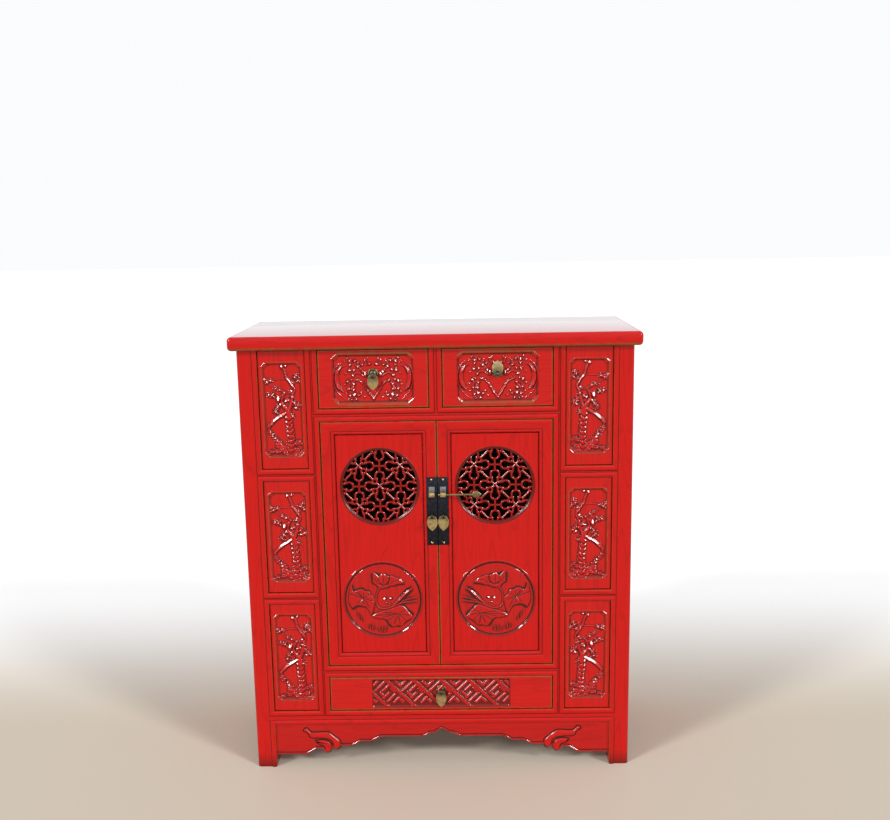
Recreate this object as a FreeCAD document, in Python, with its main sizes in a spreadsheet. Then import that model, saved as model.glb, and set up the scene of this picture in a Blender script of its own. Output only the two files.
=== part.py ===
import FreeCAD, Part
import math
import os
import re

import Sketcher
from FreeCAD import Placement, Rotation, Vector

# A lacquered sideboard in the northern Chinese manner: four posts that run down as legs, a front of
# mitred pivot doors, drawers and carved columns, and a scalloped apron. Millimetres, +Z up, the front
# faces -Y, and the origin is on the floor under the middle of the top board.

SIZES = {
    # top board
    "top_width": 900,
    "top_depth": 370,
    "top_thickness": 31,
    "top_edge_round": 9,
    "top_overhang": 16,
    "back_overhang": 8,
    # posts
    "post_width": 45,
    "post_round": 9,
    # heights, stacked from the floor to the underside of the top board
    "leg_clearance": 106,
    "bottom_rail_height": 33,
    "bottom_drawer_opening": 83,
    "sill_rail_height": 28,
    "door_opening": 574,
    "head_rail_height": 28,
    "top_drawer_opening": 132,
    # front frame
    "frame_thickness": 30,
    "column_width": 105,
    "stile_width": 26,
    "divider_width": 28,
    "column_rail_height": 26,
    "column_panel_height": 263,
    # side and back frames
    "side_rail_thickness": 30,
    "side_top_rail_height": 28,
    "back_rail_thickness": 26,
    "side_panel_recess": 6,
    "side_panel_thickness": 10,
    "back_panel_recess": 5,
    "back_panel_thickness": 8,
    # joinery
    "tenon_length": 15,
    "tenon_thickness": 10,
    "tenon_shoulder": 8,
    "tongue_depth": 6,
    "tongue_thickness": 8,
    "joint_clearance": 0.2,
    # carved column panels
    "panel_recess": 3,
    "panel_thickness": 16,
    "panel_gap": 0.6,
    "cartouche_side_margin": 9,
    "cartouche_end_margin": 26,
    "cartouche_corner": 11,
    "cartouche_depth": 3,
    # front apron: lengths from the post, then from the middle, and heights above the floor
    "apron_thickness": 16,
    "apron_setback": 4,
    "apron_foot_length": 71,
    "apron_foot_height": 30,
    "apron_step_length": 26,
    "apron_step_height": 44,
    "apron_hook_start": 110,
    "apron_hook_radius": 10,
    "apron_hook_gap": 3,
    "apron_lobe_radius": 8,
    "apron_cloud_start": 152,
    "apron_cloud_height": 50,
    "apron_cloud_length": 26,
    "apron_rise_length": 22,
    "apron_rise_height": 61,
    "apron_ledge_length": 25,
    "apron_brow_height": 72,
    "apron_peak_half_width": 42,
    "apron_peak_shoulder": 16,
    "apron_peak_step": 81,
    "apron_peak_height": 92,
    # side aprons
    "side_apron_foot_length": 34,
    "side_apron_rise_length": 40,
    # inner boards
    "board_thickness": 12,
    "shelf_rise": 280,
    "shelf_thickness": 16,
    "shelf_setback": 4,
    "bearer_width": 22,
    "bearer_height": 20,
    "guide_width": 14,
    "guide_height": 24,
    "stop_width": 80,
    "stop_height": 12,
    "stop_depth": 12,
    "stop_clearance": 0.3,
    # doors
    "door_recess": 1,
    "door_thickness": 24,
    "door_side_gap": 2,
    "door_end_gap": 1.5,
    "door_meeting_gap": 2.4,
    "door_stile_width": 31,
    "door_rail_height": 30,
    "door_panel_recess": 5,
    "door_panel_thickness": 13,
    "pivot_inset": 12,
    "pivot_setback": 6,
    "pivot_radius": 4,
    "pivot_length": 10,
    "pivot_clearance": 0.08,
    "pivot_seat_clearance": 0.2,
    "pivot_lift_room": 10,
    # door medallion and pierced lattice
    "medallion_rise": 157.5,
    "medallion_radius": 88,
    "medallion_groove_width": 4,
    "medallion_groove_depth": 2.5,
    "lattice_rise": 423.5,
    "lattice_radius": 88,
    "lattice_clearance": 0.3,
    "lattice_setback": 4,
    "lattice_rim": 6,
    "lattice_pitch": 46.5,
    "strand_width": 4.2,
    "loop_offset": 23.9,
    "loop_radius": 9.7,
    "loop_mouth_angle": 35,
    "curl_offset": 11.3,
    "curl_radius": 5.5,
    # lock on the doors
    "plate_width": 24,
    "plate_height": 157,
    "plate_thickness": 1.5,
    "plate_seam_gap": 1.2,
    "plate_rise": 288.5,
    "eye_rise": 118.5,
    "eye_width": 13,
    "eye_radius": 6.5,
    "eye_bore_radius": 3,
    "eye_strap_height": 17,
    "eye_strap_thickness": 1.6,
    "pin_radius": 2.2,
    "pin_seat_clearance": 0.5,
    "pin_length": 78,
    "pin_head_length": 21,
    "pin_head_height": 15,
    "pin_head_thickness": 3,
    # leaf drops and the eyes they hang on
    "ring_inner_radius": 3,
    "ring_outer_radius": 5.5,
    "ring_width": 2.4,
    "ring_standoff": 6.2,
    "stalk_radius": 1.8,
    "drop_half_width": 12,
    "drop_crown": 5.5,
    "drop_shoulder": 8,
    "drop_tip": 30.5,
    "drop_thickness": 2.5,
    "drop_hole_radius": 2.3,
    "drop_lean_angle": 8,
    "door_drop_rise": 69.5,
    "rosette_radius": 12.5,
    "rosette_crown_radius": 8,
    "rosette_rim_height": 1.2,
    "rosette_height": 3,
    "drawer_drop_rise": 74,
    "bottom_drop_rise": 47,
    # drawers
    "drawer_gap": 1.5,
    "drawer_rest_clearance": 0.3,
    "drawer_front_thickness": 20,
    "drawer_side_thickness": 10,
    "drawer_side_drop": 22,
    "drawer_bottom_thickness": 6,
    "drawer_bottom_rise": 6,
    "drawer_length": 262,
    "drawer_carving_width": 180,
    "drawer_carving_height": 110,
    "fret_width": 320,
    "fret_height": 70,
    "fret_corner": 3,
}

# Sides of the polygons that draw small round forms
LOOP_SIDES = 6
CURL_SIDES = 4
RIM_SIDES = 36
FLANK_SIDES = 5
BEND_SIDES = 4
HOLE_SIDES = 12
RING_SIDES = 12
STALK_SIDES = 8
ROSETTE_SIDES = 16

doc = FreeCAD.newDocument("sideboard")
sheet = doc.addObject("Spreadsheet::Sheet", "sizes")
for row, (alias, value) in enumerate(SIZES.items(), start=1):
    sheet.set(f"A{row}", alias)
    sheet.set(f"B{row}", str(value))
    sheet.setAlias(f"B{row}", alias)
doc.recompute()

subparts = {}
SIZE_WORD = re.compile(r"[a-z][a-z_]+")


def size(alias):
    """The number in the sheet's cell of that name."""
    return float(sheet.get(alias))


def bound(text):
    """A formula of size names, written with references to the sheet."""
    def cell(word):
        return f"sizes.{word.group()}" if word.group() in SIZES else word.group()

    return SIZE_WORD.sub(cell, text)


# Places worked out from the sizes, as formulas
FRONT = "(top_overhang - top_depth / 2)"
BACK = "(top_depth / 2 - back_overhang)"
POST_OUT = "(top_width / 2 - top_overhang)"
POST_IN = f"({POST_OUT} - post_width)"
STILE_OUT = f"({POST_IN} - column_width)"
STILE_IN = f"({STILE_OUT} - stile_width)"
FRONT_POST_BACK = f"({FRONT} + post_width)"
BACK_POST_FRONT = f"({BACK} - post_width)"
BOARD_FRONT = f"({FRONT} + frame_thickness)"
BOARD_BACK = f"({BACK} - back_rail_thickness)"
BOARD_SIDE = f"({POST_OUT} - side_rail_thickness)"
SIDE_PANEL_OUT = f"({POST_OUT} - side_panel_recess)"
SIDE_PANEL_IN = f"({SIDE_PANEL_OUT} - side_panel_thickness)"
DRAWER_LOW = "(leg_clearance + bottom_rail_height)"
SILL_LOW = f"({DRAWER_LOW} + bottom_drawer_opening)"
DOOR_LOW = f"({SILL_LOW} + sill_rail_height)"
HEAD_LOW = f"({DOOR_LOW} + door_opening)"
DECK_TOP = f"({HEAD_LOW} + head_rail_height)"
TOP_LOW = f"({DECK_TOP} + top_drawer_opening)"
LOWER_RAIL_LOW = f"({DRAWER_LOW} + column_panel_height)"
MIDDLE_PANEL_LOW = f"({LOWER_RAIL_LOW} + column_rail_height)"
UPPER_RAIL_LOW = f"({MIDDLE_PANEL_LOW} + column_panel_height)"
UPPER_PANEL_LOW = f"({UPPER_RAIL_LOW} + column_rail_height)"
FRAME_Y = (FRONT, BOARD_FRONT)
DOOR_FRONT = f"({FRONT} + door_recess)"
DOOR_BACK = f"({DOOR_FRONT} + door_thickness)"
DOOR_OUT = f"({STILE_IN} - door_side_gap)"
DOOR_IN = "(door_meeting_gap / 2)"
DOOR_BOTTOM = f"({DOOR_LOW} + door_end_gap)"
DOOR_TOP = f"({HEAD_LOW} - door_end_gap)"
PLATE_FRONT = f"({DOOR_FRONT} - plate_thickness)"
PLATE_MIDDLE = "(plate_seam_gap / 2 + plate_width / 2)"
PIN_HEIGHT = f"({DOOR_LOW} + plate_rise + eye_rise)"
SIDES = {"left": -1, "right": 1}
ALONG_X = Rotation(Vector(0, 1, 0), 90)
OUT_OF_FRONT = Rotation(Vector(1, 0, 0), 90)
UP_FROM_FRONT = Rotation(Vector(1, 0, 0), -90)


def across(sign, near, far):
    """The span between two distances from the middle plane, on one side of it."""
    return (near, far) if sign > 0 else (f"-({far})", f"-({near})")


def grown(span, amount):
    low, high = span
    return (f"{low} - {amount}", f"{high} + {amount}")


def middle(span):
    return f"(({span[0]}) + ({span[1]})) / 2"


def place(solid, x, y, z, rotation=None):
    if rotation:
        solid.Placement = Placement(Vector(), rotation)
    for axis, text in zip("xyz", (x, y, z)):
        solid.setExpression(f"Placement.Base.{axis}", bound(text))
    return solid


def box(name, spans):
    solid = doc.addObject("Part::Box", name)
    for side, (low, high) in zip(("Length", "Width", "Height"), spans):
        solid.setExpression(side, bound(f"({high}) - ({low})"))
    return place(solid, *[low for low, high in spans])


def cylinder(name, radius, length, x, y, z, rotation=None):
    solid = doc.addObject("Part::Cylinder", name)
    solid.setExpression("Radius", bound(radius))
    solid.setExpression("Height", bound(length))
    return place(solid, x, y, z, rotation)


def prism(name, sides, radius, length, x, y, z, rotation=None):
    solid = doc.addObject("Part::Prism", name)
    solid.Polygon = sides
    solid.setExpression("Circumradius", bound(radius))
    solid.setExpression("Height", bound(length))
    return place(solid, x, y, z, rotation)


def fuse(name, solids):
    joined = doc.addObject("Part::MultiFuse", name)
    joined.Shapes = solids
    return joined


def cut(name, base, tools):
    if len(tools) > 1:
        tool = doc.addObject("Part::Compound", f"{name}_cutters")
        tool.Links = tools
    else:
        tool = tools[0]
    trimmed = doc.addObject("Part::Cut", name)
    trimmed.Base = base
    trimmed.Tool = tool
    return trimmed


def group(name, solids):
    pieces = doc.addObject("Part::Compound", name)
    pieces.Links = solids
    return pieces


def subpart(label, solid):
    solid.Label = label
    subparts[label] = solid


def tenoned(name, spans, along, thick):
    """A bar with a tenon on each end, and the box that cuts its mortises."""
    tenon_spans = []
    for axis, (low, high) in enumerate(spans):
        if axis == along:
            tenon_spans.append((f"{low} - tenon_length", f"{high} + tenon_length"))
        elif axis == thick:
            centre = middle((low, high))
            tenon_spans.append((f"{centre} - tenon_thickness / 2", f"{centre} + tenon_thickness / 2"))
        else:
            tenon_spans.append((f"{low} + tenon_shoulder", f"{high} - tenon_shoulder"))
    bar = fuse(f"{name}_tenoned", [box(f"{name}_bar", spans), box(f"{name}_tenon", tenon_spans)])
    mortise = box(f"{name}_mortise", [grown(span, "joint_clearance") for span in tenon_spans])
    return bar, mortise


def loose_panel(name, spans):
    """A panel held in grooves, and the box that cuts those grooves."""
    groove = box(f"{name}_groove", [grown(span, "joint_clearance") for span in spans])
    return box(name, spans), groove


def cut_corner_block(name, width, height, corner, depth):
    """An upright block with cut corners, centred on its own front face, to sink a cartouche."""
    half_w, half_h = width / 2, height / 2
    corners = []
    for sx, sz in ((1, -1), (1, 1), (-1, 1), (-1, -1)):
        near = Vector(sx * half_w, 0, sz * (half_h - corner))
        far = Vector(sx * (half_w - corner), 0, sz * half_h)
        corners += [far, near] if sx * sz < 0 else [near, far]
    outline = Part.makePolygon(corners + corners[:1])
    block = doc.addObject("Part::Feature", name)
    block.Shape = Part.Face(outline).extrude(Vector(0, depth, 0))
    return block


def padded_rectangle(name, width, depth, height):
    """A body with a rectangle centred on its origin, padded upwards."""
    body = doc.addObject("PartDesign::Body", f"{name}_body")
    sketch = body.newObject("Sketcher::SketchObject", f"{name}_outline")
    ground = [plane for plane in body.Origin.OriginFeatures if plane.Role == "XY_Plane"]
    sketch.AttachmentSupport = [(ground[0], "")]
    sketch.MapMode = "FlatFace"
    corners = [Vector(-1, -1, 0), Vector(1, -1, 0), Vector(1, 1, 0), Vector(-1, 1, 0)]
    for index, corner in enumerate(corners):
        sketch.addGeometry(Part.LineSegment(corner, corners[(index + 1) % 4]))
    for index in range(4):
        sketch.addConstraint(Sketcher.Constraint("Coincident", index, 2, (index + 1) % 4, 1))
        level = "Horizontal" if index % 2 == 0 else "Vertical"
        sketch.addConstraint(Sketcher.Constraint(level, index))
    sketch.addConstraint(Sketcher.Constraint("Symmetric", 0, 1, 1, 2, -1, 1))
    for length, line, kind in (("width", 0, "DistanceX"), ("depth", 1, "DistanceY")):
        number = sketch.addConstraint(Sketcher.Constraint(kind, line, 1, line, 2, 2.0))
        sketch.renameConstraint(number, length)
    sketch.setExpression("Constraints.width", bound(width))
    sketch.setExpression("Constraints.depth", bound(depth))
    pad = body.newObject("PartDesign::Pad", f"{name}_pad")
    pad.Profile = sketch
    pad.setExpression("Length", bound(height))
    doc.recompute()
    return body, pad


def round_edges(body, pad, radius, chosen):
    """Round the pad's edges whose middle passes the test."""
    edges = enumerate(pad.Shape.Edges, start=1)
    names = [f"Edge{index}" for index, edge in edges if chosen(edge.CenterOfMass)]
    fillet = body.newObject("PartDesign::Fillet", f"{body.Name}_round")
    fillet.Base = (pad, names)
    fillet.setExpression("Radius", bound(radius))
    doc.recompute()


# Column panels: a raised field flush in its opening and a tongue behind it, with a sunk cartouche
COLUMN_OPENINGS = (
    ("lower", DRAWER_LOW, LOWER_RAIL_LOW, "tongue_depth"),
    ("middle", MIDDLE_PANEL_LOW, UPPER_RAIL_LOW, "tongue_depth"),
    ("upper", UPPER_PANEL_LOW, TOP_LOW, "-panel_gap"),
)
PANEL_FRONT = f"({FRONT} + panel_recess)"
PANEL_BACK = f"({PANEL_FRONT} + panel_thickness)"
column_grooves = {side: [] for side in SIDES}
for side, sign in SIDES.items():
    panels = []
    for level, low, high, top_tongue in COLUMN_OPENINGS:
        name = f"{side}_{level}_panel"
        opening_x = across(sign, STILE_OUT, POST_IN)
        field = box(
            f"{name}_field",
            [grown(opening_x, "-panel_gap"), (PANEL_FRONT, PANEL_BACK), grown((low, high), "-panel_gap")],
        )
        tongue_spans = [
            grown(opening_x, "tongue_depth"),
            (f"{PANEL_BACK} - tongue_thickness", PANEL_BACK),
            (f"{low} - tongue_depth", f"{high} + {top_tongue}"),
        ]
        tongue, groove = loose_panel(f"{name}_tongue", tongue_spans)
        column_grooves[side].append(groove)
        cartouche_height = size("column_panel_height") - 2 * size("cartouche_end_margin")
        cartouche = cut_corner_block(
            f"{name}_cartouche",
            size("column_width") - 2 * size("cartouche_side_margin"),
            cartouche_height,
            size("cartouche_corner"),
            size("cartouche_depth"),
        )
        place(cartouche, middle(opening_x), PANEL_FRONT, middle((low, high)))
        panels.append(cut(name, fuse(f"{name}_board", [field, tongue]), [cartouche]))
    subpart(f"{side}_carved_panels", group(f"{side}_carved_panels", panels))

# Front frame: stiles, divider and rails, tenoned together and grooved for the column panels
column_mortises = {}
for side, sign in SIDES.items():
    rails = []
    column_mortises[side] = []
    for index, low in enumerate((LOWER_RAIL_LOW, UPPER_RAIL_LOW)):
        name = f"{side}_column_rail_{index + 1}"
        spans = [across(sign, STILE_OUT, POST_IN), FRAME_Y, (low, f"{low} + column_rail_height")]
        rail, mortise = tenoned(name, spans, along=0, thick=1)
        rails.append(cut(name, rail, column_grooves[side][index : index + 2]))
        column_mortises[side].append(mortise)
    subpart(f"{side}_column_rails", group(f"{side}_column_rails", rails))

between_stiles = (f"-{STILE_IN}", STILE_IN)
head_rail, head_mortise = tenoned("head", [between_stiles, FRAME_Y, (HEAD_LOW, DECK_TOP)], along=0, thick=1)
sill_rail, sill_mortise = tenoned("sill", [between_stiles, FRAME_Y, (SILL_LOW, DOOR_LOW)], along=0, thick=1)
bottom_rail, bottom_mortise = tenoned(
    "bottom", [(f"-{POST_IN}", POST_IN), FRAME_Y, ("leg_clearance", DRAWER_LOW)], along=0, thick=1
)
divider_x = ("-divider_width / 2", "divider_width / 2")
divider, divider_mortise = tenoned("divider", [divider_x, FRAME_Y, (DECK_TOP, TOP_LOW)], along=2, thick=1)
subpart("drawer_divider", divider)

stile_mortises = []
for side, sign in SIDES.items():
    spans = [across(sign, STILE_IN, STILE_OUT), FRAME_Y, (DRAWER_LOW, TOP_LOW)]
    stile, mortise = tenoned(f"{side}_stile", spans, along=2, thick=1)
    stile_mortises.append(mortise)
    cutters = column_grooves[side] + column_mortises[side] + [head_mortise, sill_mortise]
    subpart(f"{side}_inner_stile", cut(f"{side}_inner_stile", stile, cutters))

# Sockets for the round pivots of the doors
PIVOT_Y = f"({DOOR_FRONT} + pivot_setback)"
head_sockets = []
sill_sockets = []
for side, sign in SIDES.items():
    pivot_x = f"{sign} * ({DOOR_OUT} - pivot_inset)"
    socket_radius = "pivot_radius + pivot_clearance"
    head_depth = "pivot_length - door_end_gap + pivot_lift_room"
    sill_depth = "(pivot_length - door_end_gap + pivot_seat_clearance)"
    head_sockets.append(
        cylinder(f"{side}_head_socket", socket_radius, head_depth, pivot_x, PIVOT_Y, HEAD_LOW)
    )
    sill_floor = f"{DOOR_LOW} - {sill_depth}"
    sill_sockets.append(
        cylinder(f"{side}_sill_socket", socket_radius, sill_depth, pivot_x, PIVOT_Y, sill_floor)
    )
subpart("door_head_rail", cut("door_head_rail", head_rail, [divider_mortise] + head_sockets))
subpart("door_sill_rail", cut("door_sill_rail", sill_rail, sill_sockets))
lower_grooves = [column_grooves[side][0] for side in SIDES]
subpart("front_bottom_rail", cut("front_bottom_rail", bottom_rail, stile_mortises + lower_grooves))

# Side and back frames: rails at the levels of the front rails, with plain panels between them
RAIL_LEVELS = (
    ("leg_clearance", DRAWER_LOW),
    (SILL_LOW, DOOR_LOW),
    (HEAD_LOW, DECK_TOP),
    (f"({TOP_LOW} - side_top_rail_height)", TOP_LOW),
)
side_grooves = {}
side_mortises = {}
between_posts_y = (FRONT_POST_BACK, BACK_POST_FRONT)
for side, sign in SIDES.items():
    panels = []
    side_grooves[side] = []
    for index in range(len(RAIL_LEVELS) - 1):
        opening = (RAIL_LEVELS[index][1], RAIL_LEVELS[index + 1][0])
        spans = [across(sign, SIDE_PANEL_IN, SIDE_PANEL_OUT)]
        spans += [grown(between_posts_y, "tongue_depth"), grown(opening, "tongue_depth")]
        panel, groove = loose_panel(f"{side}_side_panel_{index + 1}", spans)
        panels.append(panel)
        side_grooves[side].append(groove)
    subpart(f"{side}_side_panels", group(f"{side}_side_panels", panels))
    rails = []
    side_mortises[side] = []
    for index, level in enumerate(RAIL_LEVELS):
        name = f"{side}_side_rail_{index + 1}"
        spans = [across(sign, BOARD_SIDE, POST_OUT), between_posts_y, level]
        rail, mortise = tenoned(name, spans, along=1, thick=0)
        rails.append(cut(name, rail, side_grooves[side][max(0, index - 1) : index + 1]))
        side_mortises[side].append(mortise)
    subpart(f"{side}_side_rails", group(f"{side}_side_rails", rails))

back_panels = []
back_grooves = []
between_posts_x = (f"-{POST_IN}", POST_IN)
for index in range(len(RAIL_LEVELS) - 1):
    opening = (RAIL_LEVELS[index][1], RAIL_LEVELS[index + 1][0])
    panel_y = (f"{BACK} - back_panel_recess - back_panel_thickness", f"{BACK} - back_panel_recess")
    spans = [grown(between_posts_x, "tongue_depth"), panel_y, grown(opening, "tongue_depth")]
    panel, groove = loose_panel(f"back_panel_{index + 1}", spans)
    back_panels.append(panel)
    back_grooves.append(groove)
subpart("back_panels", group("back_panels", back_panels))
back_rails = []
back_mortises = []
for index, level in enumerate(RAIL_LEVELS):
    spans = [between_posts_x, (BOARD_BACK, BACK), level]
    rail, mortise = tenoned(f"back_rail_{index + 1}", spans, along=0, thick=1)
    back_rails.append(cut(f"back_rail_{index + 1}", rail, back_grooves[max(0, index - 1) : index + 1]))
    back_mortises.append(mortise)
subpart("back_rails", group("back_rails", back_rails))

# Posts: rounded on the outer corner, tenoned into the top board, mortised and grooved for the frames
post_mortises = []
post_spans = []
for row, y_span, y_sign in (("front", (FRONT, FRONT_POST_BACK), -1), ("back", (BACK_POST_FRONT, BACK), 1)):
    for side, sign in SIDES.items():
        label = f"{row}_{side}_post"
        x_span = across(sign, POST_IN, POST_OUT)
        post_spans.append((x_span, y_span))
        body, pad = padded_rectangle(label, "post_width", "post_width", TOP_LOW)
        round_edges(body, pad, "post_round", lambda spot: spot.x * sign > 1 and spot.y * y_sign > 1)
        place(body, middle(x_span), middle(y_span), "0")
        tenon_x = grown((middle(x_span), middle(x_span)), "tenon_thickness")
        tenon_y = grown((middle(y_span), middle(y_span)), "tenon_thickness")
        tenon_z = (TOP_LOW, f"{TOP_LOW} + tenon_length")
        tenon = box(f"{label}_tenon", [tenon_x, tenon_y, tenon_z])
        mortise_spans = [grown(span, "joint_clearance") for span in (tenon_x, tenon_y, tenon_z)]
        post_mortises.append(box(f"{label}_mortise", mortise_spans))
        cutters = side_grooves[side] + side_mortises[side]
        if row == "front":
            cutters = cutters + column_grooves[side] + column_mortises[side] + [bottom_mortise]
        else:
            cutters = cutters + back_grooves + back_mortises
        subpart(label, cut(label, fuse(f"{label}_tenoned", [body, tenon]), cutters))

# Top board
top_body, top_pad = padded_rectangle("top_board", "top_width", "top_depth", "top_thickness")
round_edges(top_body, top_pad, "top_edge_round", lambda spot: abs(spot.z - size("top_thickness") / 2) > 1)
place(top_body, "0", "0", TOP_LOW)
subpart("top_board", cut("top_board", top_body, post_mortises + stile_mortises + [divider_mortise]))


class Outline:
    """A line drawn in the plane of the front, from which a scalloped board is cut."""

    def __init__(self, x, z):
        self.edges = []
        self.pen = Vector(x, 0, z)

    def line(self, x, z):
        target = Vector(x, 0, z)
        self.edges.append(Part.LineSegment(self.pen, target).toShape())
        self.pen = target

    def arc(self, through_x, through_z, x, z):
        target = Vector(x, 0, z)
        self.bend(Part.Arc(self.pen, Vector(through_x, 0, through_z), target))

    def bend(self, arc):
        """Straight facets along an arc."""
        for target in arc.toShape().discretize(Number=BEND_SIDES + 1)[1:]:
            self.line(target.x, target.z)

    def ogee(self, x, z):
        """Two equal arcs, level at both ends."""
        start = self.pen
        for share_from, share_to, level in ((0, 0.5, start.z), (0.5, 1, z)):
            end = Vector(start.x + (x - start.x) * share_to, 0, start.z + (z - start.z) * share_to)
            half_run, half_rise = (x - start.x) / 2, (z - start.z) / 2
            radius = (half_run**2 + half_rise**2) / (2 * abs(half_rise))
            centre_x = start.x if share_from == 0 else x
            centre_z = level + math.copysign(radius, z - start.z) * (1 if share_from == 0 else -1)
            midway = (self.pen + end) * 0.5 - Vector(centre_x, 0, centre_z)
            through = Vector(centre_x, 0, centre_z) + midway.normalize() * radius
            self.bend(Part.Arc(self.pen, through, end))

    def board(self, thickness):
        return Part.Face(Part.Wire(self.edges)).extrude(Vector(0, thickness, 0))


def apron_half(sign, length):
    """One half of the front apron, from the post to the middle: foot, hook, lobe, cloud and peak."""
    top = size("leg_clearance")
    step_height = size("apron_step_height")
    cloud_height = size("apron_cloud_height")
    hook = size("apron_hook_radius")
    lobe = size("apron_lobe_radius")
    step_end = size("apron_foot_length") + size("apron_step_length")
    hook_start = size("apron_hook_start")
    lobe_start = hook_start + 2 * hook + size("apron_hook_gap")
    cloud_end = size("apron_cloud_start") + size("apron_cloud_length")
    rise_end = cloud_end + size("apron_rise_length")
    ledge_end = rise_end + size("apron_ledge_length")
    peak_start = length - size("apron_peak_half_width")
    outline = Outline(0, top)
    outline.line(0, size("apron_foot_height"))
    outline.line(size("apron_foot_length"), size("apron_foot_height"))
    outline.ogee(step_end, step_height)
    outline.line(hook_start, step_height)
    outline.arc(hook_start + hook, step_height - hook, hook_start + 2 * hook, step_height)
    outline.line(lobe_start, cloud_height)
    outline.arc(lobe_start + lobe, cloud_height - lobe, lobe_start + 2 * lobe, cloud_height)
    outline.line(cloud_end, cloud_height)
    outline.ogee(rise_end, size("apron_rise_height"))
    outline.line(ledge_end, size("apron_rise_height"))
    outline.ogee(ledge_end + size("apron_rise_length"), size("apron_brow_height"))
    outline.line(peak_start, size("apron_brow_height"))
    outline.ogee(length - size("apron_peak_shoulder"), size("apron_peak_step"))
    outline.line(length, size("apron_peak_height"))
    outline.line(length, top)
    outline.line(0, top)
    half = outline.board(size("apron_thickness"))
    half.translate(Vector(-length, 0, 0))
    return half if sign < 0 else half.mirror(Vector(), Vector(1, 0, 0))


# Front apron
apron_length = size("top_width") / 2 - size("top_overhang") - size("post_width")
front_apron = doc.addObject("Part::Feature", "front_apron")
front_apron.Shape = apron_half(-1, apron_length).fuse(apron_half(1, apron_length)).removeSplitter()
place(front_apron, "0", f"{FRONT} + apron_setback", "0")
subpart("front_apron", front_apron)

# Side aprons, with a plain bracket curve at each leg
side_length = size("top_depth") - size("top_overhang") - size("back_overhang") - 2 * size("post_width")
for side, sign in SIDES.items():
    outline = Outline(0, size("leg_clearance"))
    foot = size("side_apron_foot_length")
    rise = size("side_apron_rise_length")
    outline.line(0, size("apron_foot_height"))
    outline.line(foot, size("apron_foot_height"))
    outline.ogee(foot + rise, size("apron_brow_height"))
    outline.line(side_length - foot - rise, size("apron_brow_height"))
    outline.ogee(side_length - foot, size("apron_foot_height"))
    outline.line(side_length, size("apron_foot_height"))
    outline.line(side_length, size("leg_clearance"))
    outline.line(0, size("leg_clearance"))
    apron = doc.addObject("Part::Feature", f"{side}_side_apron")
    apron.Shape = outline.board(size("apron_thickness"))
    apron_x = across(sign, f"{POST_OUT} - apron_setback - apron_thickness", f"{POST_OUT} - apron_setback")
    place(apron, apron_x[1], FRONT_POST_BACK, "0", Rotation(Vector(0, 0, 1), 90))
    subpart(f"{side}_side_apron", apron)

# Inner boards, notched round the posts
for label, top in (("bottom_board", DRAWER_LOW), ("compartment_floor", DOOR_LOW), ("drawer_deck", DECK_TOP)):
    board_z = (f"{top} - board_thickness", top)
    board = box(f"{label}_blank", [(f"-{BOARD_SIDE}", BOARD_SIDE), (BOARD_FRONT, BOARD_BACK), board_z])
    notches = []
    for index, (x_span, y_span) in enumerate(post_spans):
        notch_spans = [grown(span, "joint_clearance") for span in (x_span, y_span, board_z)]
        notches.append(box(f"{label}_notch_{index + 1}", notch_spans))
    subpart(label, cut(label, board, notches))

# Shelf on two bearers
SHELF_LOW = f"({DOOR_LOW} + shelf_rise)"
shelf_half = f"({SIDE_PANEL_IN} - joint_clearance)"
shelf_z = (SHELF_LOW, f"{SHELF_LOW} + shelf_thickness")
shelf_y = grown(between_posts_y, "-shelf_setback")
subpart("shelf", box("shelf", [(f"-{shelf_half}", shelf_half), shelf_y, shelf_z]))
bearers = []
for side, sign in SIDES.items():
    bearer_x = across(sign, f"{SIDE_PANEL_IN} - bearer_width", SIDE_PANEL_IN)
    bearer_z = (f"{SHELF_LOW} - bearer_height", SHELF_LOW)
    bearers.append(box(f"{side}_bearer", [bearer_x, between_posts_y, bearer_z]))
subpart("shelf_bearers", group("shelf_bearers", bearers))

# Drawer guides on the deck and on the bottom board
board_y = (BOARD_FRONT, BOARD_BACK)
for label, base in (("top_drawer_guides", DECK_TOP), ("bottom_drawer_guides", DRAWER_LOW)):
    guide_z = (base, f"{base} + guide_height")
    strips = []
    for side, sign in SIDES.items():
        guide_x = across(sign, STILE_IN, f"{STILE_IN} + guide_width")
        strips.append(box(f"{label}_{side}", [guide_x, board_y, guide_z]))
    if label == "top_drawer_guides":
        strips.append(box(f"{label}_middle", [divider_x, board_y, guide_z]))
    subpart(label, group(label, strips))

# Stops that the closed doors meet
stop_x = ("-stop_width / 2", "stop_width / 2")
stop_y = (f"{DOOR_BACK} + stop_clearance", f"{DOOR_BACK} + stop_clearance + stop_depth")
head_stop = box("head_stop", [stop_x, stop_y, (f"{HEAD_LOW} - stop_height", HEAD_LOW)])
sill_stop = box("sill_stop", [stop_x, stop_y, (DOOR_LOW, f"{DOOR_LOW} + stop_height")])
subpart("door_stops", group("door_stops", [head_stop, sill_stop]))


def mitred_bar(name, length, width, inset, turn, x, y, z):
    """A frame member with mitred ends: its outer edge is its full length."""
    bar = doc.addObject("Part::Wedge", name)
    for prop, text in (
        ("Xmin", "0"),
        ("Ymin", "0"),
        ("Zmin", "0"),
        ("X2min", inset),
        ("Z2min", "0"),
        ("Xmax", length),
        ("Ymax", width),
        ("Zmax", "door_thickness"),
        ("X2max", f"{length} - {inset}"),
        ("Z2max", "door_thickness"),
    ):
        bar.setExpression(prop, bound(text))
    return place(bar, x, y, z, turn)


def strand(points):
    """A flat piece of the lattice, from a closed list of points."""
    return Part.Face(Part.makePolygon([Vector(x, 0, z) for x, z in points + points[:1]]))


def regular_points(radius, sides):
    turns = [2 * math.pi * step / sides for step in range(sides)]
    return [(radius * math.cos(turn), radius * math.sin(turn)) for turn in turns]


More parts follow.
